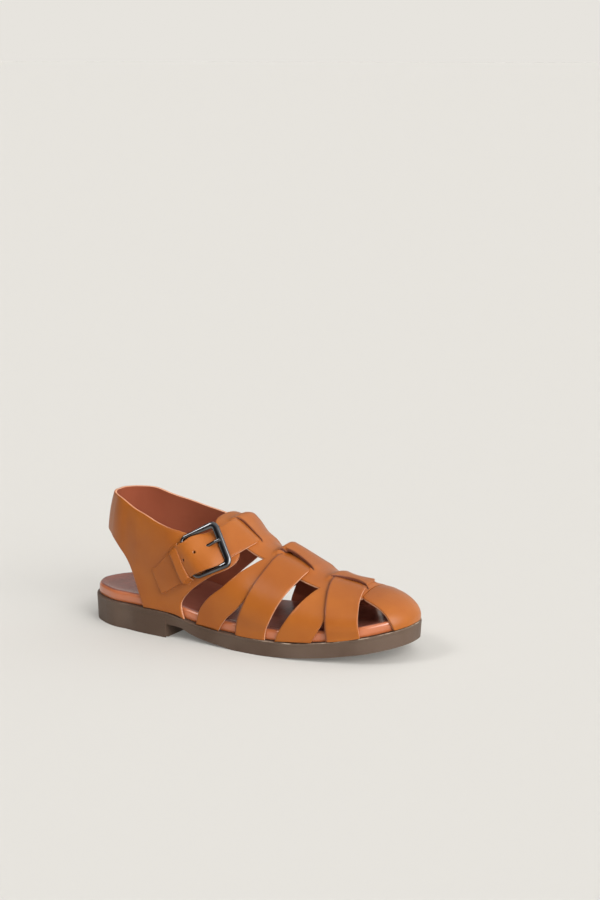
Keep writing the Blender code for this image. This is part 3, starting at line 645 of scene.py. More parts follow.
def flowing(x, y, at):
    """Curve through the points (x, y) whose slope at each is the mean of its two neighbours'."""
    step = np.diff(x)
    slope = np.diff(y) / step
    lean = (slope[1:] * step[:-1] + slope[:-1] * step[1:]) / (step[1:] + step[:-1])
    return hermite(x, y, np.concatenate([slope[:1], lean, slope[-1:]]), at)


def cover(spots):
    """Points of the last below spots of the flat sheet."""
    return last_point(*from_sheet(spots))


def settle(points, spots):
    """The spots whose points on the last are nearest to the given ones: damped Gauss-Newton steps."""
    step, damping = 1e-4, 0.02
    for _ in range(6):
        here = cover(spots)
        along = (cover(spots + (step, 0)) - here) / step
        across = (cover(spots + (0, step)) - here) / step
        miss = points - here
        aa = (along * along).sum(-1) + damping
        bb = (across * across).sum(-1) + damping
        ab = (along * across).sum(-1)
        am = (along * miss).sum(-1)
        bm = (across * miss).sum(-1)
        area = aa * bb - ab**2
        spots = spots + np.stack([bb * am - ab * bm, aa * bm - ab * am], 1) / area[:, None]
    return spots


def evened(line):
    """A line on the flat sheet made even in space: each of its points on the last becomes a Gaussian
    mean of its neighbours, with the line turned over about its ends, and goes back to the sheet."""
    points = cover(line)
    step = max(np.linalg.norm(np.diff(points, axis=0), axis=1).mean(), 1e-6)
    count = min(int(3 * EVEN_REACH / step), len(line) - 1)
    before = 2 * points[0] - points[count:0:-1]
    after = 2 * points[-1] - points[-2:-2 - count:-1]
    longer = np.concatenate([before, points, after])
    weight = np.exp(-0.5 * (np.arange(-count, count + 1) * step / EVEN_REACH) ** 2)
    even = [np.convolve(column, weight / weight.sum(), "valid") for column in longer.T]
    return settle(np.stack(even, 1), line)


def cut_edge(rows):
    """An edge table of stations and girths as an even line on the flat sheet, with even steps."""
    spots = to_sheet(*np.asarray(rows, float).T)
    run = np.concatenate([[0.0], np.cumsum(np.hypot(*np.diff(spots, axis=0).T))])
    at = np.linspace(0, run[-1], max(3, int(run[-1] / (0.6 * GRID)) + 1))
    return evened(np.stack([flowing(run, column, at) for column in spots.T], 1))


def inside(spots, outline):
    """Whether each spot lies in an outline: the number of its sides that a ray crosses is odd."""
    x, y = spots[:, 0:1], spots[:, 1:2]
    ax, ay = outline.T
    bx, by = np.roll(outline, -1, 0).T
    crosses = (ay > y) != (by > y)
    rise = np.where(by == ay, 1.0, by - ay)
    return (crosses & (x < ax + (y - ay) * (bx - ax) / rise)).sum(1) % 2 == 1


def nearest(spots, others):
    """Distance from each spot to the nearest of the others."""
    parts = np.array_split(spots, max(1, len(spots) * len(others) // PAIRS_AT_ONCE))
    squares = [((part[:, None] - others[None]) ** 2).sum(-1).min(1) for part in parts if len(part)]
    return np.sqrt(np.concatenate(squares))


def triangulate(rings, spots=()):
    """Triangles over closed rings and loose spots, and all their points."""
    corners = [Vector(spot) for ring in rings for spot in ring.tolist()]
    ends = np.cumsum([len(ring) for ring in rings])
    faces = [list(range(end - len(ring), end)) for ring, end in zip(rings, ends)]
    corners += [Vector(spot) for spot in np.asarray(spots).tolist()]
    made, _, triangles, *_ = delaunay_2d_cdt(corners, [], faces, 1, 1e-6)
    return np.array([tuple(spot) for spot in made]), np.array(triangles)


def rim_of(triangles):
    """Sides of triangles that no other triangle shares, in their own direction."""
    sides = np.concatenate([triangles[:, [0, 1]], triangles[:, [1, 2]], triangles[:, [2, 0]]])
    size = triangles.max() + 1
    forward = sides[:, 0] * size + sides[:, 1]
    backward = sides[:, 1] * size + sides[:, 0]
    return sides[~np.isin(forward, backward)]


def without_slits(spots, triangles, slits):
    """The triangles whose middle lies in none of the slits."""
    middle = spots[triangles].mean(1)
    kept = np.ones(len(triangles), bool)
    for slit in slits:
        kept &= ~inside(middle, slit)
    return triangles[kept]


def fill_outlines(outlines, slits=()):
    """Spots and triangles that fill outlines that may overlap, less their slits, with two rows along
    the rim for a rounded edge, and each spot's distance from that rim."""
    rings = list(outlines) + list(slits)
    spots, triangles = triangulate(rings)
    triangles = without_slits(spots, triangles, slits)
    sides = rim_of(triangles)
    ahead = spots[sides[:, 1]] - spots[sides[:, 0]]
    left = np.stack([-ahead[:, 1], ahead[:, 0]], 1)
    left /= np.maximum(np.linalg.norm(left, axis=1, keepdims=True), 1e-12)
    inward = np.zeros_like(spots)
    np.add.at(inward, sides[:, 0], left)
    np.add.at(inward, sides[:, 1], left)
    on_rim = np.unique(sides)
    rim = spots[on_rim]
    inward = inward[on_rim]
    inward /= np.maximum(np.linalg.norm(inward, axis=1, keepdims=True), 1e-12)
    rows = np.concatenate([rim + inward * EDGE_ROUNDING * depth for depth in (0.3, 1.0)])
    low, high = rim.min(0), rim.max(0)
    a, b = np.meshgrid(np.arange(low[0], high[0], GRID), np.arange(low[1], high[1], GRID * TRIANGLE_HEIGHT))
    a = a + GRID / 2 * (np.arange(len(a)) % 2)[:, None]
    field = np.stack([a.ravel(), b.ravel()], 1)
    field = field[nearest(field, rim) > EDGE_ROUNDING + 0.5 * GRID]
    rows = rows[nearest(rows, rim) > 0.25 * EDGE_ROUNDING]
    loose = np.concatenate([rows, field])
    within = np.zeros(len(loose), bool)
    for outline in outlines:
        within |= inside(loose, outline)
    for slit in slits:
        within &= ~inside(loose, slit)
    spots, triangles = triangulate(rings, loose[within])
    triangles = without_slits(spots, triangles, slits)
    return spots, triangles, nearest(spots, rim)


def cut_leather(outlines, lift, slits=()):
    """Points, faces and side values of leather cut to outlines: the flesh side on the last, the grain
    side one thickness over it and rounded down at the rim, and the raw edge between them."""
    spots, triangles, depth = fill_outlines(outlines, slits)
    station, girth = from_sheet(spots)
    # Painted shade round the slits: full at a slit, and gone within about two millimetres of it.
    far = nearest(spots, np.concatenate(slits)) if slits else np.ones(len(spots))
    slit_side = np.exp(-(far / SLIT_SHADE_REACH) ** 2)
    low = lift(station, girth)
    inward = np.clip(1 - depth / EDGE_ROUNDING, 0, 1)
    drop = EDGE_ROUNDING * (1 - np.sqrt(1 - inward**2))
    under = lifted(station, girth, low)
    over = lifted(station, girth, low + LEATHER - drop)
    count = len(spots)
    rim = rim_of(triangles)
    walls = np.stack([rim[:, 0], rim[:, 1], rim[:, 1] + count, rim[:, 0] + count], 1)
    faces = triangles[:, ::-1].tolist() + (triangles + count).tolist() + walls.tolist()
    grain_side = np.concatenate([np.zeros(count), np.ones(count)])
    return np.concatenate([under, over]), faces, grain_side, np.concatenate([slit_side, slit_side])


# All the tan leather is one material: pull-up clouds and a fine grain, a pale raw edge, a red-brown flesh
# side, and dark brown painted shade round the slits and along the threaded straps' rear edges.
TAN_TONES = ((0.290, 0.075, 0.006), (0.355, 0.102, 0.010))
RAW_TONES = ((0.52, 0.235, 0.13), (0.64, 0.34, 0.21))
FLESH_TONES = ((0.250, 0.059, 0.024), (0.290, 0.071, 0.030))
PAINTED_SHADE_BROWN = (0.115, 0.030, 0.013)

tan_leather, wire, shader = new_material("tan_leather")
side = wire.attribute("grain_side")
# The painted shade's weight: high round the slits and along the threaded straps' rear edges.
slit = wire.attribute("slit_side")
cloud = wire.noise(26.0, 5.0)
fine = wire.noise(700.0, 3.0)
flesh = cloud.band(0.3, 0.7).blend(*FLESH_TONES)
# Where it is high, the raw edge and the grain are painted dark brown as shade.
raw = slit.band(0.1, 0.5).blend(fine.band(0.3, 0.7).blend(*RAW_TONES), PAINTED_SHADE_BROWN)
grain = (slit.band(0.4, 1.0) * 0.75).blend(cloud.band(0.3, 0.75).blend(*TAN_TONES), PAINTED_SHADE_BROWN)
on_grain = side.band(0.90, 0.96)
skin = on_grain.blend(side.band(0.04, 0.10).blend(flesh, raw), grain)
height = fine * 0.6 + wire.cells(1600.0) * 0.5 + wire.noise(48.0, 2.0) * 2.2
plug(shader, Base_Color=skin, Roughness=0.72 - on_grain * 0.36 + fine * 0.06, Specular_IOR_Level=0.36,
     Normal=height.bump(0.4))


# The quarters and the band round the heel are one piece, closed at the back and open below it. The
# medial quarter runs on over the foot as the first half of the instep strap, below the vamp's bridge.
COLLAR = ((0.0, 0.600), (0.05, 0.600), (0.10, 0.605), (0.153, 0.64), (0.20, 0.685), (0.25, 0.71),
          (0.29, 0.735), (0.34, 0.70))
BAND_LOWER = ((0.0, 0.90), (0.05, 0.91), (0.10, 0.94), (0.140, 1.02), (0.170, 1.17), (0.195, 1.36),
              (0.210, 1.53), (0.222, 1.73), (0.238, 2.0))
QUARTER_FOOT = ((0.435, 0.98), (0.410, 1.14), (0.388, 1.38), (0.370, 1.61), (0.364, 1.80), (0.376, 2.0))
OVER = 1.03
STRAP_CLIMB = ((0.0, 0.03), (0.13, 0.06), (0.24, OVER), (0.42, OVER), (0.62, 0.0), (2.0, 0.0))


def mirrored(rows):
    """The same edge on the other side."""
    return tuple((station, -girth) for station, girth in rows)


COLLAR_LATERAL = mirrored(COLLAR) + ((0.37, -0.62), (0.41, -0.53), (0.46, -0.42), (0.505, -0.36))
COLLAR_MEDIAL = COLLAR + ((0.372, 0.62), (0.400, 0.500), (0.436, 0.300), (0.465, 0.190), (0.469, 0.060))
QUARTER_LATERAL_FRONT = (
    (0.505, -0.36), (0.527, -0.40), (0.533, -0.49), (0.522, -0.60), (0.487, -0.78), (0.463, -0.88),
) + mirrored(QUARTER_FOOT)
QUARTER_MEDIAL_FRONT = (
    (0.547, 0.080), (0.545, 0.270), (0.530, 0.430), (0.505, 0.600), (0.487, 0.72), (0.463, 0.86),
) + QUARTER_FOOT


def closed_outline(*edges):
    """Edges one after the other as one outline, without the points that repeat. Each is a table and
    the direction, 1 or -1, in which it is walked."""
    outline = np.concatenate([cut_edge(rows)[::direction] for rows, direction in edges])
    step = np.linalg.norm(outline - np.roll(outline, 1, 0), axis=1)
    return outline[step > 0.15 * GRID]


quarters_outline = closed_outline(
    (QUARTER_LATERAL_FRONT, -1),
    (COLLAR_LATERAL, -1),
    (COLLAR_MEDIAL, 1),
    (((0.469, 0.060), (0.547, 0.080)), 1),
    (QUARTER_MEDIAL_FRONT, 1),
    (((0.376, 2.0), (0.30, 2.0), (0.238, 2.0)), 1),
    (BAND_LOWER, -1),
    (mirrored(BAND_LOWER), 1),
    (((0.238, -2.0), (0.30, -2.0), (0.376, -2.0)), 1),
)


def quarters_lift(station, girth):
    """The strap half climbs from the quarter over the vamp's margin and dives through its slit."""
    strap = (girth > -0.2) & (station > 0.36) & (station < 0.60)
    return np.where(strap, smooth(STRAP_CLIMB, np.abs(girth)), 0.0) * LEATHER


points, faces, grain_side, _ = cut_leather([quarters_outline], quarters_lift)
new_piece("quarters", points, faces, tan_leather, "upper", ["upper"], grain_side=grain_side)


# The vamp is die-cut as one piece: a spine along the ridge with three bridges between pairs of slits,
# two arms on each side down to the sole, and the toe cap. The other straps are threaded through it.
SPINE_LATERAL = ((0.418, 0.02), (0.422, -0.12), (0.433, -0.27), (0.47, -0.32), (0.535, -0.33),
                 (0.585, -0.31), (0.65, -0.34), (0.703, -0.37), (0.758, -0.38), (0.82, -0.36),
                 (0.873, -0.35))
SPINE_MEDIAL = ((0.418, 0.02), (0.419, 0.14), (0.428, 0.25), (0.47, 0.35), (0.535, 0.38), (0.568, 0.37),
                (0.62, 0.35), (0.705, 0.31), (0.765, 0.33), (0.82, 0.34), (0.873, 0.35))
ARM_A_REAR = ((0.60, -0.20), (0.575, -0.40), (0.547, -0.59), (0.515, -0.81), (0.480, -0.97),
              (0.448, -1.29), (0.425, -1.64), (0.417, -2.0))
ARM_A_FRONT = ((0.665, -0.20), (0.620, -0.55), (0.578, -0.81), (0.545, -1.01), (0.522, -1.35),
               (0.505, -1.65), (0.490, -2.0))
ARM_C_REAR = ((0.775, -0.20), (0.758, -0.38), (0.740, -0.57), (0.720, -0.76), (0.693, -0.98),
              (0.678, -1.40), (0.671, -2.0))
ARM_C_FRONT = ((0.850, -0.20), (0.825, -0.52), (0.805, -0.82), (0.792, -1.02), (0.781, -1.45),
               (0.772, -2.0))
ARM_B_REAR = ((0.630, 0.20), (0.600, 0.60), (0.580, 0.81), (0.565, 0.95), (0.552, 1.34), (0.547, 2.0))
ARM_B_FRONT = ((0.712, 0.20), (0.700, 0.43), (0.682, 0.72), (0.660, 0.93), (0.645, 1.34), (0.640, 2.0))
ARM_D_REAR = ((0.800, 0.20), (0.805, 0.50), (0.810, 0.85), (0.811, 1.30), (0.812, 2.0))
ARM_D_FRONT = ((0.858, 0.20), (0.870, 0.35), (0.882, 0.68), (0.885, 1.00), (0.885, 2.0))
CAP_LATERAL = ((0.858, -0.20), (0.873, -0.35), (0.900, -0.44), (0.922, -0.57), (0.935, -0.76),
               (0.941, -1.00), (0.943, -1.50), (0.945, -2.0))
CAP_MEDIAL = ((0.858, 0.20), (0.873, 0.35), (0.900, 0.41), (0.925, 0.48), (0.948, 0.64), (0.957, 0.90),
              (0.957, 1.40), (0.956, 2.0))
SLITS = (
    ((0.467, -0.095), (0.475, -0.08), (0.512, -0.11), (0.552, -0.145)),
    ((0.465, 0.20), (0.503, 0.26), (0.549, 0.29)),
    ((0.602, -0.15), (0.616, -0.085), (0.645, -0.10), (0.685, -0.14), (0.716, -0.19)),
    ((0.606, 0.15), (0.657, 0.20), (0.711, 0.27)),
    ((0.763, -0.17), (0.787, -0.09), (0.833, -0.06), (0.868, -0.13)),
    ((0.762, 0.20), (0.805, 0.15), (0.855, 0.11)),
)
CAP_EDGE = ((0.945, -2.0), (0.97, -2.0), (1.0, -2.0), (0.98, 2.0), (0.956, 2.0))
SLIT_WIDTH = 0.0023
BRIDGE_RISE = 1.06
BRIDGE_RUN_UP = 0.018
BRIDGE_RUN_IN = 0.005
BRIDGE_MARGIN = 0.005
BRIDGE_FADE = 0.02
BRIDGE_HUMPS = (0.0008, 0.0044, 0.0012)
HUMP_GIRTHS = ((-0.20, 0.05), (-0.08, 0.35), (0.08, 1.0), (0.3, 1.0))


def slit_outline(rows):
    """A thin lens along a slit's line, pointed at both ends."""
    line = cut_edge(rows)
    ahead = np.gradient(line, axis=0)
    aside = np.stack([-ahead[:, 1], ahead[:, 0]], 1) / np.linalg.norm(ahead, axis=1, keepdims=True)
    half = SLIT_WIDTH / 2 * np.sin(np.pi * np.linspace(0, 1, len(line))) ** 0.5
    return np.concatenate([line + aside * half[:, None], (line - aside * half[:, None])[::-1][1:-1]])


def bridge_lift(station, girth):
    """Each bridge rises over the strap below it, between its two slits. It starts to rise a little
    before the slits' ends, and there it takes the margins beside it along. Its hump is highest at the
    rear end and on the medial side."""
    rise = np.zeros(len(station))
    for lateral, medial, hump in zip(SLITS[::2], SLITS[1::2], BRIDGE_HUMPS):
        start = max(lateral[0][0], medial[0][0])
        end = min(lateral[-1][0], medial[-1][0])
        inside_start, inside_end = station - start, end - station
        along = ease((inside_start + BRIDGE_RUN_UP) / (BRIDGE_RUN_UP + BRIDGE_RUN_IN))
        along = along * ease((inside_end + BRIDGE_RUN_UP) / (BRIDGE_RUN_UP + BRIDGE_RUN_IN))
        beside = np.maximum(smooth(lateral, station) - girth, girth - smooth(medial, station)) * HALF_GIRTH
        margin = ease(1 - beside / BRIDGE_MARGIN)
        margin = margin * ease(1 - np.minimum(inside_start, inside_end) / BRIDGE_FADE)
        fading = 1 - np.clip(inside_start / (end - start), 0, 1)
        height = BRIDGE_RISE * LEATHER + hump * fading * smooth(HUMP_GIRTHS, girth)
        rise = np.maximum(rise, height * along * np.where(beside < 0, 1.0, margin))
    return rise


strips = ((SPINE_LATERAL, SPINE_MEDIAL), (ARM_A_REAR, ARM_A_FRONT), (ARM_C_REAR, ARM_C_FRONT),
          (ARM_B_REAR, ARM_B_FRONT), (ARM_D_REAR, ARM_D_FRONT))
vamp_outlines = [closed_outline((first, 1), (second, -1)) for first, second in strips]
vamp_outlines.append(closed_outline((CAP_LATERAL, 1), (CAP_EDGE, 1), (CAP_MEDIAL, -1)))
points, faces, grain_side, slit_side = cut_leather(
    vamp_outlines, bridge_lift, [slit_outline(rows) for rows in SLITS],
)
new_piece("vamp", points, faces, tan_leather, "upper", ["upper"], grain_side=grain_side,
          slit_side=slit_side)


# Two straps are threaded through the vamp. Each comes up from the sole on the lateral side, over an
# arm, through a slit and below the bridge, out of the other slit and down over the medial side.
# A row has the rear edge's station and girth, the front edge's, and the lift in leathers. A sixth
# column, if there is one, is the lift of the strap's edges.
STRAP_TWO_ROWS = (
    (0.547, -2.00, 0.640, -2.00, 0.00),
    (0.550, -1.40, 0.641, -1.40, 0.10),
    (0.562, -1.02, 0.652, -1.02, 0.60),
    (0.588, -0.72, 0.677, -0.74, 1.02),
    (0.608, -0.42, 0.702, -0.42, 1.04),
    (0.612, -0.22, 0.708, -0.25, 1.02),
    (0.617, -0.12, 0.708, -0.15, 0.00),
    (0.614, 0.10, 0.707, 0.20, 0.30),
    (0.606, 0.23, 0.704, 0.32, 1.02),
    (0.570, 0.44, 0.678, 0.46, 1.04),
    (0.532, 0.66, 0.630, 0.66, 1.02),
    (0.495, 0.90, 0.580, 0.90, 0.60),
    (0.455, 1.22, 0.530, 1.22, 0.10),
    (0.428, 1.60, 0.506, 1.60, 0.00),
    (0.417, 2.00, 0.490, 2.00, 0.00),
)
STRAP_THREE_ROWS = (
    (0.812, -2.00, 0.890, -2.00, 0.00),
    (0.812, -1.40, 0.890, -1.40, 0.10),
    (0.811, -0.95, 0.888, -0.95, 0.60),
    (0.799, -0.66, 0.884, -0.66, 1.02),
    (0.780, -0.38, 0.872, -0.38, 1.04),
    (0.769, -0.20, 0.862, -0.19, 1.02),
    (0.768, -0.05, 0.858, -0.04, 0.02),
    (0.767, 0.09, 0.853, 0.05, 0.02),
    (0.763, 0.24, 0.846, 0.20, 1.02),
    (0.745, 0.42, 0.822, 0.42, 1.04),
    (0.728, 0.62, 0.806, 0.62, 1.02),
    (0.704, 0.88, 0.797, 0.88, 0.60),
    (0.686, 1.20, 0.784, 1.20, 0.10),
    (0.675, 1.60, 0.776, 1.60, 0.00),
    (0.672, 2.00, 0.772, 2.00, 0.00),
)
STRAP_STEP = 0.0014
MIDDLE_COLUMNS = 11
EDGE_SPOT = 0.3
EDGE_DROP = 0.29
# Painted shade along a strap's rear edge, for its columns from the rear wall on.
REAR_SHADE = (1.0, 1.0, 1.0, 1.0, 0.75)


def strap_lines(rows):
    """A strap's distance along its middle line at even steps, and there its two edges on the flat
    sheet, made even, and its lifts."""
    table = np.asarray(rows, float)
    rear, front = to_sheet(table[:, 0], table[:, 1]), to_sheet(table[:, 2], table[:, 3])
    steps = np.hypot(*np.diff((rear + front) / 2, axis=0).T)
    run = np.concatenate([[0.0], np.cumsum(steps)])
    along = np.linspace(0, run[-1], max(9, int(run[-1] / 0.001)))
    rear, front = (
        evened(np.stack([flowing(run, column, along) for column in edge.T], 1))
        for edge in (rear, front)
    )
    lifts = [flowing(run, table[:, column], along)[:, None] for column in (4, -1)]
    return along, np.concatenate([rear, front, *lifts], 1)


def strap_surface(lines, along, share, height):
    """Points of a strap: along its middle line, a share of the way from its rear edge to its front
    edge, and at a height over its flesh side. Its lift is a parabola across it."""
    run, columns = lines
    along, share, height = np.broadcast_arrays(along, share, height)
    rear_a, rear_b, front_a, front_b, lift, edge_lift = (
        flowing(run, column, along) for column in columns.T
    )
    spots = np.stack([rear_a * (1 - share) + front_a * share, rear_b * (1 - share) + front_b * share], -1)
    station, girth = from_sheet(spots.reshape(-1, 2))
    rise = (lift + (edge_lift - lift) * (2 * share - 1) ** 2) * LEATHER
    return lifted(station, girth, (rise + height).ravel()).reshape(*share.shape, 3)


def strap_mesh(rows, width, thickness=LEATHER):
    """A strap as a closed grid: a loop round its section, rounded at the grain side, carried along its run
    and closed flat at both ends. A line of painted shade runs all along its rear edge."""
    lines = strap_lines(rows)
    length = lines[0][-1]
    edge = EDGE_ROUNDING
    start = np.array((0, 0, EDGE_SPOT * edge, edge))
    steps = np.linspace(edge * 1.5, length - edge * 1.5, max(4, int(length / STRAP_STEP)))
    along = np.concatenate([start, steps, length - start[::-1]])
    end_drop = np.zeros(len(along))
    end_drop[[1, -2]] = edge
    end_drop[[2, -3]] = EDGE_DROP * edge
    middle = np.linspace(edge * 2, width - edge * 2, MIDDLE_COLUMNS)
    across = np.concatenate([start[1:], middle, width - start[:0:-1]])
    side_drop = np.zeros(len(across))
    side_drop[[0, -1]] = edge
    side_drop[[1, -2]] = EDGE_DROP * edge
    drop = np.maximum(end_drop[:, None], side_drop[None, :])
    top = thickness - drop
    top[[0, -1]] = 0
    share = np.concatenate([across, across[::-1]]) / width
    height = np.concatenate([top, np.zeros_like(top)], 1)
    points = strap_surface(lines, along[:, None], share[None, :], height)
    grain_side = np.concatenate([np.ones_like(top), np.zeros_like(top)], 1)
    grain_side[[0, -1]] = 0
    # Painted shade: the strap's side along its rear edge is dark, as a contact shadow on what lies below.
    painted_rear_shade = np.zeros_like(grain_side)
    painted_rear_shade[:, [-1, 0, 1, 2, 3]] = REAR_SHADE
    columns = points.shape[1]
    faces = grid_faces(len(along), columns)
    first = np.arange(len(along) - 1) * columns
    closing = np.stack([first + columns - 1, first + 2 * columns - 1, first + columns, first], 1)
    return points, np.concatenate([faces, closing])[:, ::-1], grain_side, painted_rear_shade


STRAP_TWO_WIDTH = 0.0245
STRAP_THREE_WIDTH = 0.0215
for name, rows, width in (("strap_two", STRAP_TWO_ROWS, STRAP_TWO_WIDTH),
                          ("strap_three", STRAP_THREE_ROWS, STRAP_THREE_WIDTH)):
    points, faces, grain_side, painted_rear_shade = strap_mesh(rows, width)
    new_piece(name, points, faces, tan_leather, "upper", ["upper"], grain_side=grain_side,
              slit_side=painted_rear_shade)


# The buckled half of the instep strap comes out from below the first bridge, runs below the buckle's
# front bar and over its hinge bar, through the keeper, and ends as a tail on the lateral quarter.
STRAP_LATERAL_ROWS = (
    (0.4690, 0.070, 0.5470, 0.090, 0.00, 0.00),
    (0.4690, -0.040, 0.5480, -0.060, 0.02, 0.02),
    (0.4685, -0.150, 0.5450, -0.200, 1.02, 1.02),
    (0.4620, -0.270, 0.5320, -0.380, 1.04, 1.04),
    (0.4500, -0.370, 0.5140, -0.520, 1.06, 1.06),
    (0.4320, -0.460, 0.5000, -0.640, 1.25, 1.30),
    (0.4080, -0.580, 0.4760, -0.765, 3.00, 3.30),
    (0.3880, -0.680, 0.4480, -0.862, 3.85, 3.95),
    (0.3700, -0.770, 0.4250, -0.925, 2.80, 3.35),
    (0.3520, -0.860, 0.4030, -0.990, 1.35, 1.40),
    (0.3300, -0.940, 0.3700, -1.190, 1.05, 1.05),
    (0.3050, -1.010, 0.3400, -1.400, 1.02, 1.02),
    (0.2800, -1.140, 0.3120, -1.570, 1.02, 1.02),
)
STRAP_WIDTH = 0.0235
HOLE_PLACES = (0.0498, 0.0606, 0.0700)
HOLE_SHARE = 0.42
HOLE_RADIUS = 0.0011
PIN_SIDES = 16
PIN_BELOW = 0.0008
PIN_ABOVE = 0.004


def pin_frames(lines, places, share):
    """Where each pin stands in the strap, square to it: foot, direction along the strap, and up."""
    frames = []
    for place in places:
        foot, ahead, over = (
            strap_surface(lines, np.array([along]), np.array([share]), np.array([height]))[0]
            for along, height in ((place, 0.0), (place + 0.001, 0.0), (place, 0.001))
        )
        up = (over - foot) / np.linalg.norm(over - foot)
        along = ahead - foot - np.dot(ahead - foot, up) * up
        frames.append((foot, along / np.linalg.norm(along), up))
    return frames


def punch_pins(frames, radius):
    """Many-sided pins through the strap: each a ring of points below it and one above."""
    sides = np.arange(PIN_SIDES)
    turn = sides[:, None] * 2 * np.pi / PIN_SIDES
    corners, faces = [], []
    for number, (foot, along, up) in enumerate(frames):
        ring = foot + radius * (np.cos(turn) * along + np.sin(turn) * np.cross(up, along))
        corners += [ring - PIN_BELOW * up, ring + PIN_ABOVE * up]
        low = 2 * PIN_SIDES * number + sides
        after = np.roll(low, -1)
        faces += np.stack([low, after, after + PIN_SIDES, low + PIN_SIDES], 1).tolist()
        faces += [low[::-1].tolist(), (low + PIN_SIDES).tolist()]
    mesh = bpy.data.meshes.new("punch")
    mesh.from_pydata(np.concatenate(corners).tolist(), [], faces)
    return bpy.data.objects.new("punch", mesh)


pins = pin_frames(strap_lines(STRAP_LATERAL_ROWS), HOLE_PLACES, HOLE_SHARE)
punch = punch_pins(pins, HOLE_RADIUS)
bpy.context.scene.collection.objects.link(punch)
points, faces, grain_side, _ = strap_mesh(STRAP_LATERAL_ROWS, STRAP_WIDTH)
instep_strap = new_piece(
    "instep_strap", points, faces, tan_leather, "upper", ["upper"], punch=punch, grain_side=grain_side,
)
bpy.data.objects.remove(punch)

# The holes' rims are grain side above and flesh side below, as the strap round them is.
spots = np.empty(3 * len(instep_strap.data.vertices))
instep_strap.data.vertices.foreach_get("co", spots)
spots = spots.reshape(-1, 3)
layer = instep_strap.data.attributes["grain_side"].data
grain_side = np.empty(len(spots), np.float32)
layer.foreach_get("value", grain_side)
for foot, along, up in pins:
    rise = (spots - foot) @ up
    out = np.linalg.norm(spots - foot - rise[:, None] * up, axis=1)
    at_rim = (out < 1.1 * HOLE_RADIUS) & (np.abs(rise) < 2 * LEATHER)
    grain_side[at_rim] = rise[at_rim] > LEATHER / 2
layer.foreach_set("value", grain_side)


# The keeper is a narrow loop of thinner leather on the quarter, which holds the strap's tail down.
KEEPER_REAR = np.array((0.3540, -0.825))
KEEPER_FRONT = np.array((0.4110, -1.020))
KEEPER_HALF = np.array((0.0080, 0.0420))
KEEPER_LEATHER = 0.0015
KEEPER_RISES = ((0, 0.0039), (0.84, 0.0039), (0.95, 0.0), (1, 0))
KEEPER_WIDTH = 0.0052

share = np.linspace(-1, 1, 41)
middle = (KEEPER_REAR + KEEPER_FRONT) / 2 + share[:, None] * (KEEPER_FRONT - KEEPER_REAR) / 2
lift = LEATHER + CLEARANCE + smooth(KEEPER_RISES, np.abs(share))
keeper_rows = np.column_stack([middle - KEEPER_HALF, middle + KEEPER_HALF, lift / LEATHER])
points, faces, grain_side, _ = strap_mesh(keeper_rows, KEEPER_WIDTH, KEEPER_LEATHER)
new_piece("keeper", points, faces, tan_leather, "upper", ["keeper_loop"], grain_side=grain_side)


# The buckle is a round-bar rectangle of polished gunmetal. Its hinge bar lies on the quarter below
# the strap, its front bar over the strap, and its prong comes up through a punched hole.
HINGE_PLACE = (0.4040, -0.822)
FRONT_PLACE = (0.4800, -0.503)
BUCKLE_BAR = 0.0029
BUCKLE_ROUNDING = 0.0040
BAR_WIDTHS = ((0, 0.9), (0.1, 0.95), (0.7, 1.6), (1.0, 1.85))
FRONT_BAR_IN = 0.0008
FRONT_PART = 0.15
HINGE_WEIGHT = 0.65
STRAP_PLAY = 0.0020
HINGE_STAND = 0.0018
FRONT_STAND = 0.0012
PRONG_DIAMETER = 0.0024
PRONG_ASIDE = 0.0024
PRONG_ROWS = ((-0.04, 0.2), (0.10, 0.3), (0.24, 0.62), (0.34, 0.98), (0.46, 1.0), (0.505, 0.98))
PRONG_TIP = 0.03
GUNMETAL_TONES = ((0.11, 0.11, 0.115), (0.15, 0.15, 0.155))


def over_last(place, lift):
    """A point at a height over one place of the last."""
    return Vector(lifted(np.array(place[0]), np.array(place[1]), np.array(lift)))


hinge = over_last(HINGE_PLACE, LEATHER + HINGE_STAND + BUCKLE_BAR / 2)
front = over_last(FRONT_PLACE, 2 * LEATHER + FRONT_STAND + BUCKLE_BAR / 2)
buckle_length = (front - hinge).length
buckle_along = (front - hinge).normalized()
buckle_up = HINGE_WEIGHT * Vector(last_normal(*map(np.array, HINGE_PLACE)))
buckle_up += (1 - HINGE_WEIGHT) * Vector(last_normal(*map(np.array, FRONT_PLACE)))
buckle_across = buckle_up.cross(buckle_along).normalized()
buckle_turn = np.array((buckle_along, buckle_across, buckle_along.cross(buckle_across)))
buckle_middle = np.array((hinge + front) / 2)


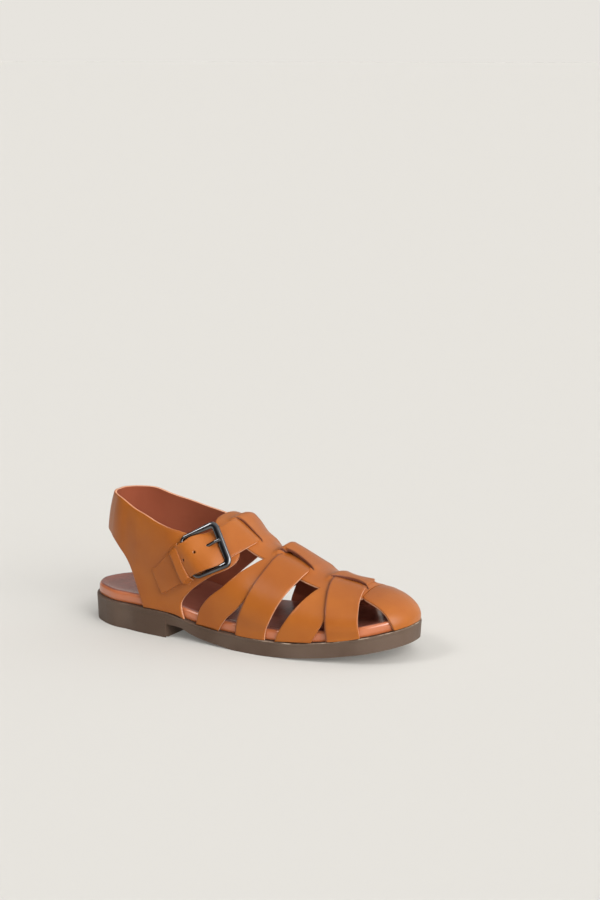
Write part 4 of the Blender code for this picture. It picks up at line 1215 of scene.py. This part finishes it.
def round_bar(path, half_width, half_height, closed):
    """An oval of points round each point of a path that lies nearly in the buckle's plane: the oval
    stands across the path."""
    ahead = np.roll(path, -1, 0) - np.roll(path, 1, 0)
    if not closed:
        ahead[0] = path[1] - path[0]
        ahead[-1] = path[-1] - path[-2]
    ahead /= np.linalg.norm(ahead, axis=1, keepdims=True)
    aside = np.cross(ahead, (0.0, 0.0, 1.0))
    aside /= np.linalg.norm(aside, axis=1, keepdims=True)
    up = np.cross(aside, ahead)
    turn = np.linspace(0, 2 * np.pi, 25)[:, None]
    half_width = np.broadcast_to(half_width, len(path))[:, None, None]
    half_height = np.broadcast_to(half_height, len(path))[:, None, None]
    oval = half_width * np.cos(turn) * aside[:, None, :] + half_height * np.sin(turn) * up[:, None, :]
    return (path[:, None, :] + oval) @ buckle_turn + buckle_middle


def rounded_rectangle(length, width, rounding):
    """Points round a rectangle with quarter circles for corners and even steps along its sides."""
    points = []
    for corner, (sx, sy) in enumerate(((1, 1), (-1, 1), (-1, -1), (1, -1))):
        angle = np.pi / 2 * (corner + np.linspace(0, 1, 9))
        points.append(np.stack([
            sx * (length / 2 - rounding) + rounding * np.cos(angle),
            sy * (width / 2 - rounding) + rounding * np.sin(angle),
            np.zeros(9),
        ], 1))
    return np.concatenate(points)


gunmetal, wire, shader = new_material("gunmetal")
smudge = wire.noise(120.0, 2.0)
plug(shader, Base_Color=smudge.band(0.3, 0.7).blend(*GUNMETAL_TONES), Metallic=1.0,
     Roughness=smudge * 0.06 + 0.10)

path = rounded_rectangle(buckle_length, STRAP_WIDTH + 2 * STRAP_PLAY + BUCKLE_BAR, BUCKLE_ROUNDING)
toward_front = 0.5 + path[:, 0] / buckle_length
half_width = smooth(BAR_WIDTHS, toward_front) * BUCKLE_BAR / 2
path[:, 0] -= FRONT_BAR_IN * np.clip((toward_front - 1 + FRONT_PART) / FRONT_PART, 0, 1)
points = round_bar(path, half_width, BUCKLE_BAR / 2, True)
faces = grid_faces(*points.shape[:2], closed=True)[:, ::-1]
new_piece("buckle_ring", points, faces, gunmetal, "buckle", ["buckle_frame"])

above = BUCKLE_BAR / 2 + PRONG_DIAMETER / 2
share = np.linspace(PRONG_ROWS[0][0], PRONG_ROWS[-1][0], 33)
path = np.stack([share * buckle_length, PRONG_ASIDE + 0 * share, smooth(PRONG_ROWS, share) * above], 1)
tip = np.clip((share[-1] - share) / PRONG_TIP, 0, 1)
radius = PRONG_DIAMETER / 2 * np.sqrt(1 - (1 - tip) ** 2)
radius[0] = 0
points = round_bar(path, radius, radius, False)
faces = grid_faces(*points.shape[:2])[:, ::-1]
new_piece("prong", points, faces, gunmetal, "buckle", ["buckle_prong"])
